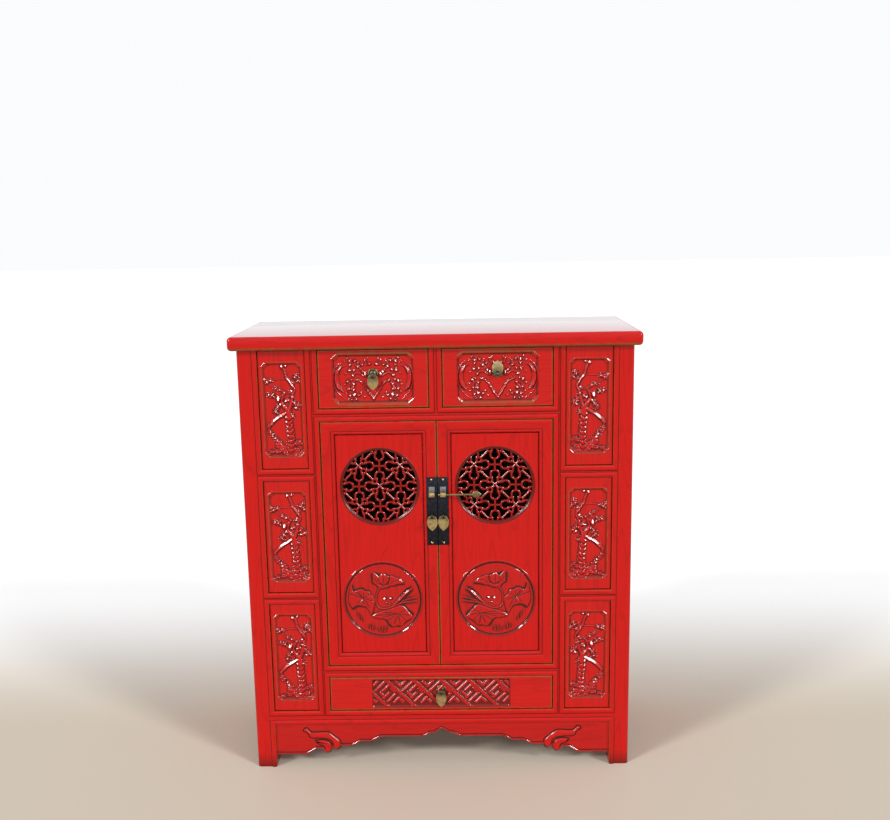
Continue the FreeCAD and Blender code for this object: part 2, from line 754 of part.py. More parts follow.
def bar_between(start, end, width):
    run = (end[0] - start[0], end[1] - start[1])
    scale = width / 2 / math.hypot(*run)
    side_x, side_z = -run[1] * scale, run[0] * scale
    return strand(
        [
            (start[0] + side_x, start[1] + side_z),
            (end[0] + side_x, end[1] + side_z),
            (end[0] - side_x, end[1] - side_z),
            (start[0] - side_x, start[1] - side_z),
        ]
    )


def open_ring(centre, radius, width, facing, mouth, sides):
    """A ring of straight pieces, open by the mouth angle on the side away from facing."""
    half_turn = math.pi - mouth
    angles = [facing - half_turn + 2 * half_turn * step / sides for step in range(sides + 1)]
    outline = []
    for reach, turns in ((radius + width / 2, angles), (radius - width / 2, angles[::-1])):
        outline += [(centre[0] + reach * math.cos(turn), centre[1] + reach * math.sin(turn)) for turn in turns]
    return strand(outline)


def lattice_shape():
    """Four-petalled flowers and plain crosses on alternate points of a square grid, in a round rim."""
    pitch, width = size("lattice_pitch"), size("strand_width")
    loop_offset, loop_radius = size("loop_offset"), size("loop_radius")
    curl_offset, curl_radius = size("curl_offset"), size("curl_radius")
    mouth = math.radians(size("loop_mouth_angle"))
    rim_out = size("lattice_radius") - size("lattice_clearance")
    rim_in = rim_out - size("lattice_rim")
    petal_tip = loop_offset + loop_radius
    reach = math.ceil(rim_in / pitch)
    strands = []
    for column in range(-reach, reach + 1):
        for line in range(-reach, reach + 1):
            x, z = column * pitch, line * pitch
            if math.hypot(x, z) > rim_in + petal_tip:
                continue
            for quarter in range(4):
                facing = quarter * math.pi / 2
                dx, dz = round(math.cos(facing)), round(math.sin(facing))
                if (column + line) % 2:
                    arm = pitch - petal_tip
                    strands.append(bar_between((x, z), (x + dx * arm, z + dz * arm), width))
                    continue
                loop = (x + dx * loop_offset, z + dz * loop_offset)
                strands.append(open_ring(loop, loop_radius, width, facing, mouth, LOOP_SIDES))
                sx, sz = dx - dz, dx + dz
                curl = (x + sx * curl_offset, z + sz * curl_offset)
                toward = math.atan2(sz, sx)
                strands.append(open_ring(curl, curl_radius, width, toward, 0, CURL_SIDES))
                inner = curl_offset - (curl_radius - width / 4) * math.sqrt(0.5)
                outer = curl_offset + (curl_radius - width / 4) * math.sqrt(0.5)
                strands.append(bar_between((x, z), (x + sx * inner, z + sz * inner), width))
                curl_end = (x + sx * outer, z + sz * outer)
                half_way = (x + sx * pitch / 2, z + sz * pitch / 2)
                strands.append(bar_between(curl_end, half_way, width))
    discs = []
    for radius in (rim_out, (rim_out + rim_in) / 2, rim_in):
        discs.append(strand(regular_points(radius, RIM_SIDES)))
    depth = Vector(0, size("door_panel_thickness") - size("lattice_setback"), 0)
    web = strands[0].multiFuse(strands[1:]).common(discs[1]).removeSplitter()
    ring = discs[0].cut(discs[2])
    return web.extrude(depth).fuse(ring.extrude(depth)).removeSplitter()


def faceted(edges):
    """A closed wire of straight pieces that follows the given arcs in their order."""
    points = []
    for edge in edges:
        points += edge.discretize(Number=FLANK_SIDES + 1)[:-1]
    return Part.makePolygon(points + points[:1])


def leaf_outline(half_width, crown, shoulder, tip, hole):
    """A leaf with a round crown above the given point and a sharp end below it."""
    top, low = hole + Vector(0, 0, crown), hole - Vector(0, 0, tip)
    corners = {}
    for sign in (1, -1):
        wide = hole + Vector(sign * half_width, 0, -shoulder)
        crown_bend = hole + Vector(sign * half_width * 0.72, 0, crown - (crown + shoulder) * 0.3)
        tip_bend = hole + Vector(sign * half_width * 0.7, 0, -shoulder - (tip - shoulder) * 0.6)
        corners[sign] = (crown_bend, wide, tip_bend)
    right, left = corners[1], corners[-1]
    arcs = [
        Part.Arc(top, right[0], right[1]),
        Part.Arc(right[1], right[2], low),
        Part.Arc(low, left[2], left[1]),
        Part.Arc(left[1], left[0], top),
    ]
    return faceted([arc.toShape() for arc in arcs])


def leaf_drop(label, x, y, z, turn):
    """A leaf that hangs on a ring eye. Its own origin is the middle of the ring it turns about."""
    ring_middle = (size("ring_inner_radius") + size("ring_outer_radius")) / 2
    thickness = size("drop_thickness")
    hole = Vector(0, -thickness / 2, -ring_middle)
    lengths = [size(alias) for alias in ("drop_half_width", "drop_crown", "drop_shoulder", "drop_tip")]
    blade = Part.Face(leaf_outline(*lengths, hole))
    opening = strand(regular_points(size("drop_hole_radius"), HOLE_SIDES))
    opening.translate(hole)
    drop = doc.addObject("Part::Feature", label)
    drop.Shape = blade.cut(opening).extrude(Vector(0, thickness, 0))
    place(drop, x, y, z, Rotation(Vector(1, 0, 0), turn) if turn else None)
    subpart(label, drop)


def ring_eye(name, x, seat, z):
    """A flat ring that stands out of the front on a stalk. Returns its solids and the ring's middle in Y."""
    centre_y = f"({seat} - ring_standoff)"
    ring_x = f"{x} - ring_width / 2"
    outer = prism(
        f"{name}_outer", RING_SIDES, "ring_outer_radius", "ring_width",
        ring_x, centre_y, z, ALONG_X,
    )
    inner = cylinder(f"{name}_inner", "ring_inner_radius", "ring_width", ring_x, centre_y, z, ALONG_X)
    stalk_length = "ring_standoff - (ring_inner_radius + ring_outer_radius) / 2"
    stalk = prism(f"{name}_stalk", STALK_SIDES, "stalk_radius", stalk_length, x, seat, z, OUT_OF_FRONT)
    return [cut(f"{name}_ring", outer, [inner]), stalk], centre_y


# Doors: mitred frame with pivots, panel with a medallion and a round window, lattice, and half a lock
door_height = f"({DOOR_TOP} - {DOOR_BOTTOM})"
door_width = f"({DOOR_OUT} - {DOOR_IN})"
PANEL_FACE = f"({DOOR_FRONT} + door_panel_recess)"
PANEL_REAR = f"({PANEL_FACE} + door_panel_thickness)"
STILE_TO_RIGHT = Rotation(Vector(1, 1, 1), 240)
STILE_TO_LEFT = Rotation(Vector(0, 0, 1), 180) * STILE_TO_RIGHT
for side, sign in SIDES.items():
    door_x = across(sign, DOOR_IN, DOOR_OUT)
    left_stile = mitred_bar(
        f"{side}_door_left_stile", door_height, "door_stile_width", "door_rail_height",
        STILE_TO_RIGHT, door_x[0], DOOR_FRONT, DOOR_BOTTOM,
    )
    right_stile = mitred_bar(
        f"{side}_door_right_stile", door_height, "door_stile_width", "door_rail_height",
        STILE_TO_LEFT, door_x[1], DOOR_BACK, DOOR_BOTTOM,
    )
    low_rail = mitred_bar(
        f"{side}_door_low_rail", door_width, "door_rail_height", "door_stile_width",
        OUT_OF_FRONT, door_x[0], DOOR_BACK, DOOR_BOTTOM,
    )
    high_rail = mitred_bar(
        f"{side}_door_high_rail", door_width, "door_rail_height", "door_stile_width",
        UP_FROM_FRONT, door_x[0], DOOR_FRONT, DOOR_TOP,
    )
    hinge_stile, meeting_stile = (left_stile, right_stile) if sign < 0 else (right_stile, left_stile)
    pivot_x = f"{sign} * ({DOOR_OUT} - pivot_inset)"
    pivot_reach = f"{door_height} + 2 * pivot_length"
    pivot_low = f"{DOOR_BOTTOM} - pivot_length"
    pivots = cylinder(f"{side}_door_pivots", "pivot_radius", pivot_reach, pivot_x, PIVOT_Y, pivot_low)
    hinge_stile = fuse(f"{side}_door_hinge_stile", [hinge_stile, pivots])

    opening_x = grown(door_x, "-door_stile_width")
    opening_z = (f"{DOOR_BOTTOM} + door_rail_height", f"{DOOR_TOP} - door_rail_height")
    field_spans = [grown(opening_x, "-panel_gap"), (PANEL_FACE, PANEL_REAR), grown(opening_z, "-panel_gap")]
    tongue_spans = [grown(opening_x, "tongue_depth"), (f"{PANEL_REAR} - tongue_thickness", PANEL_REAR)]
    tongue_spans.append(grown(opening_z, "tongue_depth"))
    tongue, groove = loose_panel(f"{side}_door_tongue", tongue_spans)
    members = []
    for index, member in enumerate((hinge_stile, meeting_stile, low_rail, high_rail)):
        members.append(cut(f"{side}_door_member_{index + 1}", member, [groove]))
    subpart(f"{side}_door_frame", group(f"{side}_door_frame", members))

    panel_middle = middle(opening_x)
    window = cylinder(
        f"{side}_window", "lattice_radius", "door_panel_thickness",
        panel_middle, PANEL_REAR, f"{DOOR_LOW} + lattice_rise", OUT_OF_FRONT,
    )
    medallion_height = f"{DOOR_LOW} + medallion_rise"
    groove_floor = f"{PANEL_FACE} + medallion_groove_depth"
    groove_out = prism(
        f"{side}_medallion_outer", RIM_SIDES, "medallion_radius", "medallion_groove_depth",
        panel_middle, groove_floor, medallion_height, OUT_OF_FRONT,
    )
    groove_in_radius = "medallion_radius - medallion_groove_width"
    groove_in = prism(
        f"{side}_medallion_inner", RIM_SIDES, groove_in_radius, "medallion_groove_depth",
        panel_middle, groove_floor, medallion_height, OUT_OF_FRONT,
    )
    medallion = cut(f"{side}_medallion_groove", groove_out, [groove_in])
    panel = fuse(f"{side}_door_board", [box(f"{side}_door_field", field_spans), tongue])
    subpart(f"{side}_door_panel", cut(f"{side}_door_panel", panel, [window, medallion]))

    lattice = doc.addObject("Part::Feature", f"{side}_door_lattice")
    lattice.Shape = lattice_shape()
    place(lattice, panel_middle, f"{PANEL_FACE} + lattice_setback", f"{DOOR_LOW} + lattice_rise")
    subpart(f"{side}_door_lattice", lattice)

    plate_x = across(sign, "plate_seam_gap / 2", "plate_seam_gap / 2 + plate_width")
    plate_z = (f"{DOOR_LOW} + plate_rise", f"{DOOR_LOW} + plate_rise + plate_height")
    subpart(f"{side}_lock_plate", box(f"{side}_lock_plate", [plate_x, (PLATE_FRONT, DOOR_FRONT), plate_z]))

    plate_middle = f"{sign} * {PLATE_MIDDLE}"
    eye_x = f"{plate_middle} - eye_width / 2"
    eye_y = f"{PLATE_FRONT} - eye_radius"
    roll = prism(
        f"{side}_eye_roll", ROSETTE_SIDES, "eye_radius", "eye_width",
        eye_x, eye_y, PIN_HEIGHT, ALONG_X,
    )
    strap_spans = [
        (eye_x, f"{eye_x} + eye_width"),
        (f"{PLATE_FRONT} - eye_strap_thickness", PLATE_FRONT),
        (PIN_HEIGHT, f"{PIN_HEIGHT} + eye_strap_height"),
    ]
    bore = cylinder(f"{side}_eye_bore", "eye_bore_radius", "eye_width", eye_x, eye_y, PIN_HEIGHT, ALONG_X)
    rolled_eye = fuse(f"{side}_eye_blank", [roll, box(f"{side}_eye_strap", strap_spans)])
    subpart(f"{side}_lock_eye", cut(f"{side}_lock_eye", rolled_eye, [bore]))

    drop_z = f"{DOOR_LOW} + plate_rise + door_drop_rise"
    eye_solids, drop_y = ring_eye(f"{side}_door_eye", plate_middle, PLATE_FRONT, drop_z)
    subpart(f"{side}_door_drop_eye", fuse(f"{side}_door_drop_eye", eye_solids))
    leaf_drop(f"{side}_door_drop", plate_middle, drop_y, drop_z, 0)

# Latch pin, drawn back out of the left eye so that the doors are free. It lies in the right eye.
pin_x = DOOR_IN
pin_y = f"{PLATE_FRONT} - eye_radius"
pin_z = f"{PIN_HEIGHT} - (eye_bore_radius - pin_radius - pin_seat_clearance)"
rod = cylinder("pin_rod", "pin_radius", "pin_length", pin_x, pin_y, pin_z, ALONG_X)
leaf_length, leaf_height = size("pin_head_length"), size("pin_head_height")
stem, point = Vector(), Vector(leaf_length, 0, 0)
flanks = [Vector(leaf_length * 0.42, 0, flank * leaf_height / 2) for flank in (1, -1)]
head_arcs = [Part.Arc(stem, flanks[0], point).toShape(), Part.Arc(point, flanks[1], stem).toShape()]
pin_head = doc.addObject("Part::Feature", "pin_head")
pin_head.Shape = Part.Face(faceted(head_arcs)).extrude(Vector(0, size("pin_head_thickness"), 0))
place(pin_head, f"{pin_x} + pin_length - pin_radius", f"{pin_y} - pin_head_thickness / 2", pin_z)
subpart("latch_pin", fuse("latch_pin", [rod, pin_head]))


def drawer(name, opening_x, opening_z, carving, drop_rise, drop_turn):
    """A drawer with a sunk field on its front, an open box behind, and a leaf drop on a rosette."""
    front_x = grown(opening_x, "-drawer_gap")
    front_back = f"({DOOR_FRONT} + drawer_front_thickness)"
    front = box(f"{name}_front_board", [front_x, (DOOR_FRONT, front_back), grown(opening_z, "-drawer_gap")])
    field_middle = (middle(opening_x), middle(opening_z))
    sunk = cut_corner_block(f"{name}_field", *[size(alias) for alias in carving], size("cartouche_depth"))
    place(sunk, field_middle[0], DOOR_FRONT, field_middle[1])
    subpart(f"{name}_front", cut(f"{name}_front", front, [sunk]))

    box_y = (front_back, f"{front_back} + drawer_length")
    side_z = (f"{opening_z[0]} + drawer_rest_clearance", f"{opening_z[1]} - drawer_side_drop")
    inner_x = grown(front_x, "-drawer_side_thickness")
    bottom_low = f"{side_z[0]} + drawer_bottom_rise"
    bottom_z = (bottom_low, f"{bottom_low} + drawer_bottom_thickness")
    boards = [
        box(f"{name}_left_side", [(front_x[0], inner_x[0]), box_y, side_z]),
        box(f"{name}_right_side", [(inner_x[1], front_x[1]), box_y, side_z]),
        box(f"{name}_back", [inner_x, (f"{box_y[1]} - drawer_side_thickness", box_y[1]), side_z]),
        box(f"{name}_bottom", [inner_x, (box_y[0], f"{box_y[1]} - drawer_side_thickness"), bottom_z]),
    ]
    subpart(f"{name}_box", group(f"{name}_box", boards))

    seat = f"({DOOR_FRONT} + cartouche_depth)"
    drop_z = f"{opening_z[0]} + {drop_rise}"
    rim = prism(
        f"{name}_rosette_rim", ROSETTE_SIDES, "rosette_radius", "rosette_rim_height",
        field_middle[0], seat, drop_z, OUT_OF_FRONT,
    )
    crown = prism(
        f"{name}_rosette_crown", ROSETTE_SIDES, "rosette_crown_radius", "rosette_height",
        field_middle[0], seat, drop_z, OUT_OF_FRONT,
    )
    eye_solids, drop_y = ring_eye(f"{name}_eye", field_middle[0], f"{seat} - rosette_height", drop_z)
    subpart(f"{name}_rosette", fuse(f"{name}_rosette", [rim, crown] + eye_solids))
    leaf_drop(f"{name}_drop", field_middle[0], drop_y, drop_z, drop_turn)


# Drawers. The leaf of the right one is thrown up and leans on the carving.
bat_field = ("drawer_carving_width", "drawer_carving_height", "cartouche_corner")
fret_field = ("fret_width", "fret_height", "fret_corner")
thrown_up = 180 - size("drop_lean_angle")
top_z = (DECK_TOP, TOP_LOW)
for side, sign, turn in (("left", -1, 0), ("right", 1, thrown_up)):
    opening_x = across(sign, "divider_width / 2", STILE_IN)
    drawer(f"{side}_drawer", opening_x, top_z, bat_field, "drawer_drop_rise", turn)
drawer("bottom_drawer", between_stiles, (DRAWER_LOW, SILL_LOW), fret_field, "bottom_drop_rise", 0)

doc.recompute()
for thing in doc.Objects:
    if "Invalid" in thing.State or "Error" in thing.State:
        raise RuntimeError(f"{thing.Name} failed: {thing.State}")
for label, solid in subparts.items():
    if solid.Shape.isNull() or not solid.Shape.isValid() or not solid.Shape.Solids:
        raise RuntimeError(f"{label} has no valid solid")

os.makedirs("parts", exist_ok=True)
for label, solid in subparts.items():
    pieces = solid.Shape.Solids
    shape = pieces[0] if len(pieces) == 1 else Part.makeCompound(pieces)
    shape.exportStep(f"parts/{label}.step")
print(f"{len(subparts)} sub-parts, {sum(len(solid.Shape.Solids) for solid in subparts.values())} solids")
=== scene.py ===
import math

import bmesh
import bpy
import numpy as np
from mathutils import Matrix, Vector


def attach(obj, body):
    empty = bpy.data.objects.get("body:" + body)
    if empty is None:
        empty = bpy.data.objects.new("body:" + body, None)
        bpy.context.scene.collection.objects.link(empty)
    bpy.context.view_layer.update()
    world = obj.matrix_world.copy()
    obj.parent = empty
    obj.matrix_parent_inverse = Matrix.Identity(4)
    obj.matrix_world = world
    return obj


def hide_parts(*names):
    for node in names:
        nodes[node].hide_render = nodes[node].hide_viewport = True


# A red lacquered sideboard in the northern Chinese manner. Metres, +Z up, the front faces -Y and the
# origin is on the floor under the middle of the top board. Lengths are written in millimetres and turned
# into metres where a mesh is made.

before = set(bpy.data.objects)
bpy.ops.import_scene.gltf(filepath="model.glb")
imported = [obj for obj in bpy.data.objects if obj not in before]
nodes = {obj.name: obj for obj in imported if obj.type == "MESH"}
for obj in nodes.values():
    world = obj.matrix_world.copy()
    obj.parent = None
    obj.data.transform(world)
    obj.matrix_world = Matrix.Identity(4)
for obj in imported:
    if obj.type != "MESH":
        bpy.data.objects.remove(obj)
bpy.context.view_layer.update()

# Carcass frame
# Four elm posts that run down as legs, with rails and stiles tenoned between them, lacquered red as one.
# Every opening of the front is edged with a half-round bead, mitred at its corners.
MM = 0.001
SIDES = {"left": -1, "right": 1}
FRONT = -169.0
UNDERSIDE = 984.0
POST_IN = 389.0
STILE_OUT = 284.0
STILE_IN = 258.0
LACQUER_RED = (0.54, 0.0030, 0.0020, 1)
GRAIN_RED = (0.24, 0.002, 0.0015, 1)
# Brown-black used both for dirt and for painted shade.
DIRT_AND_SHADE_BROWN = (0.022, 0.004, 0.002, 1)
RUBBED_BROWN = (0.22, 0.105, 0.024, 1)
FOOT_DARKENING = {"From Max": 0.035, "To Min": 0.7, "To Max": 0}
FIGURE_WAVES = (12, 1.3)
FIGURE_LINES = 16
FIGURE_LEVELS = ((0, 0), (0.72, 0), (0.95, 0.34), (1, 0))
PORE_WAVES = (420, 9)
GRAIN_DETAIL = 2
PORE_LEVELS = ((0.5, 0), (0.75, 0.3))
PATCH_WAVES = (70, 70, 70)
PATCH_DETAIL = 3
PATCH_LEVELS = ((0.32, 0.3), (0.58, 1))
GRAIN_BUMP = {"Strength": 0.2, "Distance": 0.0004}
PLAIN_FINISH = {"Specular IOR Level": 0.34, "Roughness": 0.2}
CARVED_FINISH = {"Specular IOR Level": 0.42, "Roughness": 0.09}
POLISHED_FINISH = {
    "Specular IOR Level": 0.7, "Roughness": 0.15, "Coat Weight": 1, "Coat Roughness": 0.06, "Coat IOR": 1.8,
}
COLOUR_A = 6
COLOUR_B = 7
COLOUR_OUT = 2


def node(tree, kind, inputs, output, **settings):
    """One output of a new node; its inputs are linked where a socket is given and set otherwise."""
    made = tree.nodes.new(kind)
    for name, value in settings.items():
        setattr(made, name, value)
    for name, value in inputs.items():
        if isinstance(value, bpy.types.NodeSocket):
            tree.links.new(value, made.inputs[name])
        else:
            made.inputs[name].default_value = value
    return made.outputs[output]


def new_material(name, finish):
    """A new material, its node tree and its shader with the fixed values of a finish."""
    material = bpy.data.materials.new(name)
    material.use_nodes = True
    shader = material.node_tree.nodes["Principled BSDF"]
    for label, value in finish.items():
        shader.inputs[label].default_value = value
    return material, material.node_tree, shader


def mixed_colour(tree, share, first, second):
    """A mix of two colours; the share and the first colour may be sockets."""
    inputs = {0: share, COLOUR_A: first, COLOUR_B: second}
    return node(tree, "ShaderNodeMix", inputs, COLOUR_OUT, data_type="RGBA")


def calculated(tree, operation, first, second):
    """One step of arithmetic on a socket and a socket or a number."""
    return node(tree, "ShaderNodeMath", {0: first, 1: second}, 0, operation=operation)


def spread(tree, value, stops):
    """A value taken through a curve of (place, level) stops."""
    ramp = tree.nodes.new("ShaderNodeValToRGB")
    elements = ramp.color_ramp.elements
    while len(elements) < len(stops):
        elements.new(0.5)
    for element, (place, level) in zip(elements, stops):
        element.position = place
        element.color = (level, level, level, 1)
    tree.links.new(value, ramp.inputs[0])
    return ramp.outputs[0]


def ranged(tree, value, limits, interpolation="LINEAR"):
    """A value taken from one range to another."""
    inputs = {"Value": value, **limits}
    return node(tree, "ShaderNodeMapRange", inputs, "Result", interpolation_type=interpolation)


def own_place(tree):
    return node(tree, "ShaderNodeTexCoord", {}, "Object")


def own_axis(tree, axis):
    """The piece's own coordinate along an axis."""
    return node(tree, "ShaderNodeSeparateXYZ", {"Vector": own_place(tree)}, axis)


def stretched_noise(tree, scales, detail):
    """Noise on the piece's own coordinates, with a number of waves per metre for each axis."""
    place = node(tree, "ShaderNodeMapping", {"Vector": own_place(tree), "Scale": scales}, "Vector")
    return node(tree, "ShaderNodeTexNoise", {"Vector": place, "Scale": 1, "Detail": detail}, "Fac")


def attribute(tree, name):
    """A value stored on the points of the mesh, 0 where the mesh has none."""
    return node(tree, "ShaderNodeAttribute", {}, "Fac", attribute_name=name)


def grain_scales(along, waves):
    """Waves per metre for each axis, from those across the grain and those along it."""
    return [waves[1] if axis == along else waves[0] for axis in "XYZ"]


def lacquer(name, along, finish):
    """Red lacquer over elm whose grain runs along one axis, brown where rubbed and dark under dirt and
    painted shade.
    """
    material, tree, shader = new_material(name, finish)
    figure = stretched_noise(tree, grain_scales(along, FIGURE_WAVES), GRAIN_DETAIL)
    figure = calculated(tree, "FRACT", calculated(tree, "MULTIPLY", figure, FIGURE_LINES), 0)
    figure = spread(tree, figure, FIGURE_LEVELS)
    pores = stretched_noise(tree, grain_scales(along, PORE_WAVES), GRAIN_DETAIL)
    pores = spread(tree, pores, PORE_LEVELS)
    grain = calculated(tree, "MAXIMUM", figure, pores)
    colour = mixed_colour(tree, grain, LACQUER_RED, GRAIN_RED)
    patches = spread(tree, stretched_noise(tree, PATCH_WAVES, PATCH_DETAIL), PATCH_LEVELS)
    rubbed = calculated(tree, "MULTIPLY", attribute(tree, "rubbed"), patches)
    colour = mixed_colour(tree, rubbed, colour, RUBBED_BROWN)
    # Darker towards the floor over the lowest few centimetres of each piece.
    feet = ranged(tree, own_axis(tree, "Z"), FOOT_DARKENING)
    # The dark attribute mixed in here holds dirt and also painted shade in grooves, gaps and hollows.
    soil_and_shade = calculated(tree, "MAXIMUM", attribute(tree, "dirt_and_shade"), feet)
    colour = mixed_colour(tree, soil_and_shade, colour, DIRT_AND_SHADE_BROWN)
    tree.links.new(colour, shader.inputs["Base Color"])
    bump = node(tree, "ShaderNodeBump", {"Height": grain, **GRAIN_BUMP}, "Normal", invert=True)
    tree.links.new(bump, shader.inputs["Normal"])
    return material


UPRIGHT_LACQUER = lacquer("red_lacquer_upright", "Z", PLAIN_FINISH)
LEVEL_LACQUER = lacquer("red_lacquer_level", "X", PLAIN_FINISH)
DEEP_LACQUER = lacquer("red_lacquer_deep", "Y", PLAIN_FINISH)
CARVED_UPRIGHT = lacquer("carved_lacquer_upright", "Z", CARVED_FINISH)
CARVED_LEVEL = lacquer("carved_lacquer_level", "X", CARVED_FINISH)
POLISHED_TOP = lacquer("polished_lacquer_top", "X", POLISHED_FINISH)
WALL_LACQUERS = (LEVEL_LACQUER, UPRIGHT_LACQUER)


class Shape:
    """Points in millimetres with their wear, their dirt and painted shade, and faces with their material
    number.
    """

    def __init__(self, points, faces, rubbed=0.0, dirt_and_shade=0.0, finish=0):
        self.points = np.asarray(points, float).reshape(-1, 3)
        self.faces = [tuple(int(corner) for corner in face) for face in faces]
        self.rubbed = np.zeros(len(self.points)) + rubbed
        self.dirt_and_shade = np.zeros(len(self.points)) + dirt_and_shade
        self.finish = list(np.zeros(len(self.faces), int) + finish)

    def __add__(self, other):
        shift = len(self.points)
        both = Shape(np.vstack((self.points, other.points)), self.faces)
        both.faces += [tuple(corner + shift for corner in face) for face in other.faces]
        both.rubbed = np.concatenate((self.rubbed, other.rubbed))
        both.dirt_and_shade = np.concatenate((self.dirt_and_shade, other.dirt_and_shade))
        both.finish = self.finish + other.finish
        return both

    def moved(self, matrix):
        """The same shape turned and shifted, in millimetres."""
        turn = np.array(matrix.to_3x3())
        shift = np.array(matrix.translation)
        return Shape(self.points @ turn.T + shift, self.faces, self.rubbed, self.dirt_and_shade, self.finish)

    def mirrored(self):
        """The same shape on the other side of the middle of the sideboard."""
        points = self.points * (-1, 1, 1)
        faces = [face[::-1] for face in self.faces]
        return Shape(points, faces, self.rubbed, self.dirt_and_shade, self.finish)


def linked(name, data):
    """A new object in the scene that holds the data."""
    holder = bpy.data.objects.new(name, data)
    bpy.context.scene.collection.objects.link(holder)
    return holder


def make_piece(name, shape, materials, smooth=True, crease=None):
    """A mesh in its place, in metres. Edges sharper than the crease angle are kept sharp."""
    mesh = bpy.data.meshes.new(name)
    mesh.from_pydata((shape.points * MM).tolist(), [], shape.faces)
    for material in materials:
        mesh.materials.append(material)
    mesh.polygons.foreach_set("material_index", shape.finish)
    mesh.polygons.foreach_set("use_smooth", [smooth] * len(shape.faces))
    for label, values in (("rubbed", shape.rubbed), ("dirt_and_shade", shape.dirt_and_shade)):
        layer = mesh.attributes.new(label, "FLOAT", "POINT")
        layer.data.foreach_set("value", values.astype(np.float32))
    if crease:
        mesh.set_sharp_from_angle(angle=math.radians(crease))
    mesh.update()
    return linked(name, mesh)


def fixed(piece, body, slot, *replaced):
    """The piece moves with a body and stands for the nodes it replaces, which are hidden; the slot is not
    used.
    """
    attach(piece, body)
    if replaced:
        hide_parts(*replaced)
    return piece


def finished(material, *names):
    """Gives the nodes that stay as they are their finish."""
    for name in names:
        for place in nodes[name].material_slots:
            place.material = material


def quads(rows, columns, wrap_rows=False, wrap_columns=True, flip=False):
    """The faces between neighbouring rows of points, each row with the same number of points."""
    faces = []
    for row in range(rows if wrap_rows else rows - 1):
        low = row * columns
        high = (row + 1) % rows * columns
        for step in range(columns if wrap_columns else columns - 1):
            after = (step + 1) % columns
            face = (low + step, low + after, high + after, high + step)
            faces.append(face[:1] + face[:0:-1] if flip else face)
    return faces


def moulding(corners, closed, plane, profile):
    """A strip that follows corners (x, z, outward x, outward z) anticlockwise as seen from the front.
    Its profile is a closed list of (distance outward, rise in front of the plane, rubbed, dirt and painted
    shade)."""
    count = len(profile)
    points = []
    for x, z, out_x, out_z in corners:
        points += [(x + out_x * away, plane - rise, z + out_z * away) for away, rise, *wear in profile]
    faces = quads(len(corners), count, wrap_rows=closed)
    finish = []
    for here, after in zip(corners, corners[1:] + corners[:1]):
        finish += [0 if abs(after[0] - here[0]) > 1 else 1] * count
    finish = finish[: len(faces)]
    if not closed:
        faces += [tuple(range(count))[::-1], tuple(range(len(points) - count, len(points)))]
        finish += [1, 1]
    rubbed = [entry[2] for entry in profile] * len(corners)
    dirt_and_shade = [entry[3] for entry in profile] * len(corners)
    return Shape(points, faces, rubbed, dirt_and_shade, finish)


def keep_mitres(piece, count):
    """Keeps the corners of a moulding sharp, where count points of its profile meet."""
    for edge in piece.data.edges:
        first, second = edge.vertices
        edge.use_edge_sharp = first // count == second // count


def opening_corners(left, right, low, high, squash=1.0):
    """The corners of an opening, with the outward move up and down squashed."""
    below = [(left, low, -1, -squash), (right, low, 1, -squash)]
    return below + [(right, high, 1, squash), (left, high, -1, squash)]


def open_top_corners(left, right, low, high):
    return [(left, high, -1, 0), (left, low, -1, -1), (right, low, 1, -1), (right, high, 1, 0)]


BEAD_WIDTH = 10.4
BEAD_RISE = 2.3
BEAD_START = 0.6
BEAD_BASE = 0.2
BEAD_STEPS = 8
BEAD_FOOT = 12.4
BEAD_LIP = 0.1


def bead_profile():
    """A half-round bead beside an opening, rubbed bare at the opening and dark with dirt and painted shade
    in the groove behind it.
    """
    profile = [(-BEAD_LIP, -2.4, 1, 0), (-BEAD_LIP, -0.9, 1, 0), (0.5, 0.15, 0.9, 0)]
    for step in range(1, BEAD_STEPS):
        turn = math.pi * step / BEAD_STEPS
        away = BEAD_START + BEAD_WIDTH / 2 * (1 - math.cos(turn))
        profile.append((away, BEAD_BASE + BEAD_RISE * math.sin(turn), 0.35 if step == 1 else 0, 0))
    profile += [(BEAD_WIDTH + 0.5, 0.14, 0, 0.95), (BEAD_WIDTH + 1.3, 0.1, 0, 0.9)]
    profile += [(BEAD_FOOT, 0.08, 0, 0.15)]
    profile += [(BEAD_FOOT, -1, 0, 0), (0.5, -2.4, 0, 0)]
    return profile


LEG_ROOM = 106.0
BOTTOM_OPENING = (139.0, 222.0)
DOOR_OPENING = (250.0, 824.0)
UPPER_OPENING = (852.0, UNDERSIDE)
COLUMN_OPENINGS = ((139.0, 402.0), (428.0, 691.0), (717.0, UNDERSIDE))
DIVIDER_OUT = 14.0
rings = []
for sign in SIDES.values():
    left, right = sorted((sign * STILE_OUT, sign * POST_IN))
    for low, high in COLUMN_OPENINGS[:2]:
        rings.append((opening_corners(left, right, low, high), True))
    rings.append((open_top_corners(left, right, *COLUMN_OPENINGS[2]), False))
    left, right = sorted((sign * DIVIDER_OUT, sign * STILE_IN))
    rings.append((open_top_corners(left, right, *UPPER_OPENING), False))
for low, high in (DOOR_OPENING, BOTTOM_OPENING):
    rings.append((opening_corners(-STILE_IN, STILE_IN, low, high), True))
right_leg = [(POST_IN, 0, 1, 0), (POST_IN, LEG_ROOM, 1, 1)]
left_leg = [(-POST_IN, LEG_ROOM, -1, 1), (-POST_IN, 0, -1, 0)]
rings.append((right_leg + left_leg, False))
beads = Shape([], [])
for corners, closed in rings:
    beads += moulding(corners, closed, FRONT, bead_profile())
front_beads = make_piece("front_beads", beads, WALL_LACQUERS)
keep_mitres(front_beads, len(bead_profile()))
fixed(front_beads, "cabinet", "red_lacquer")

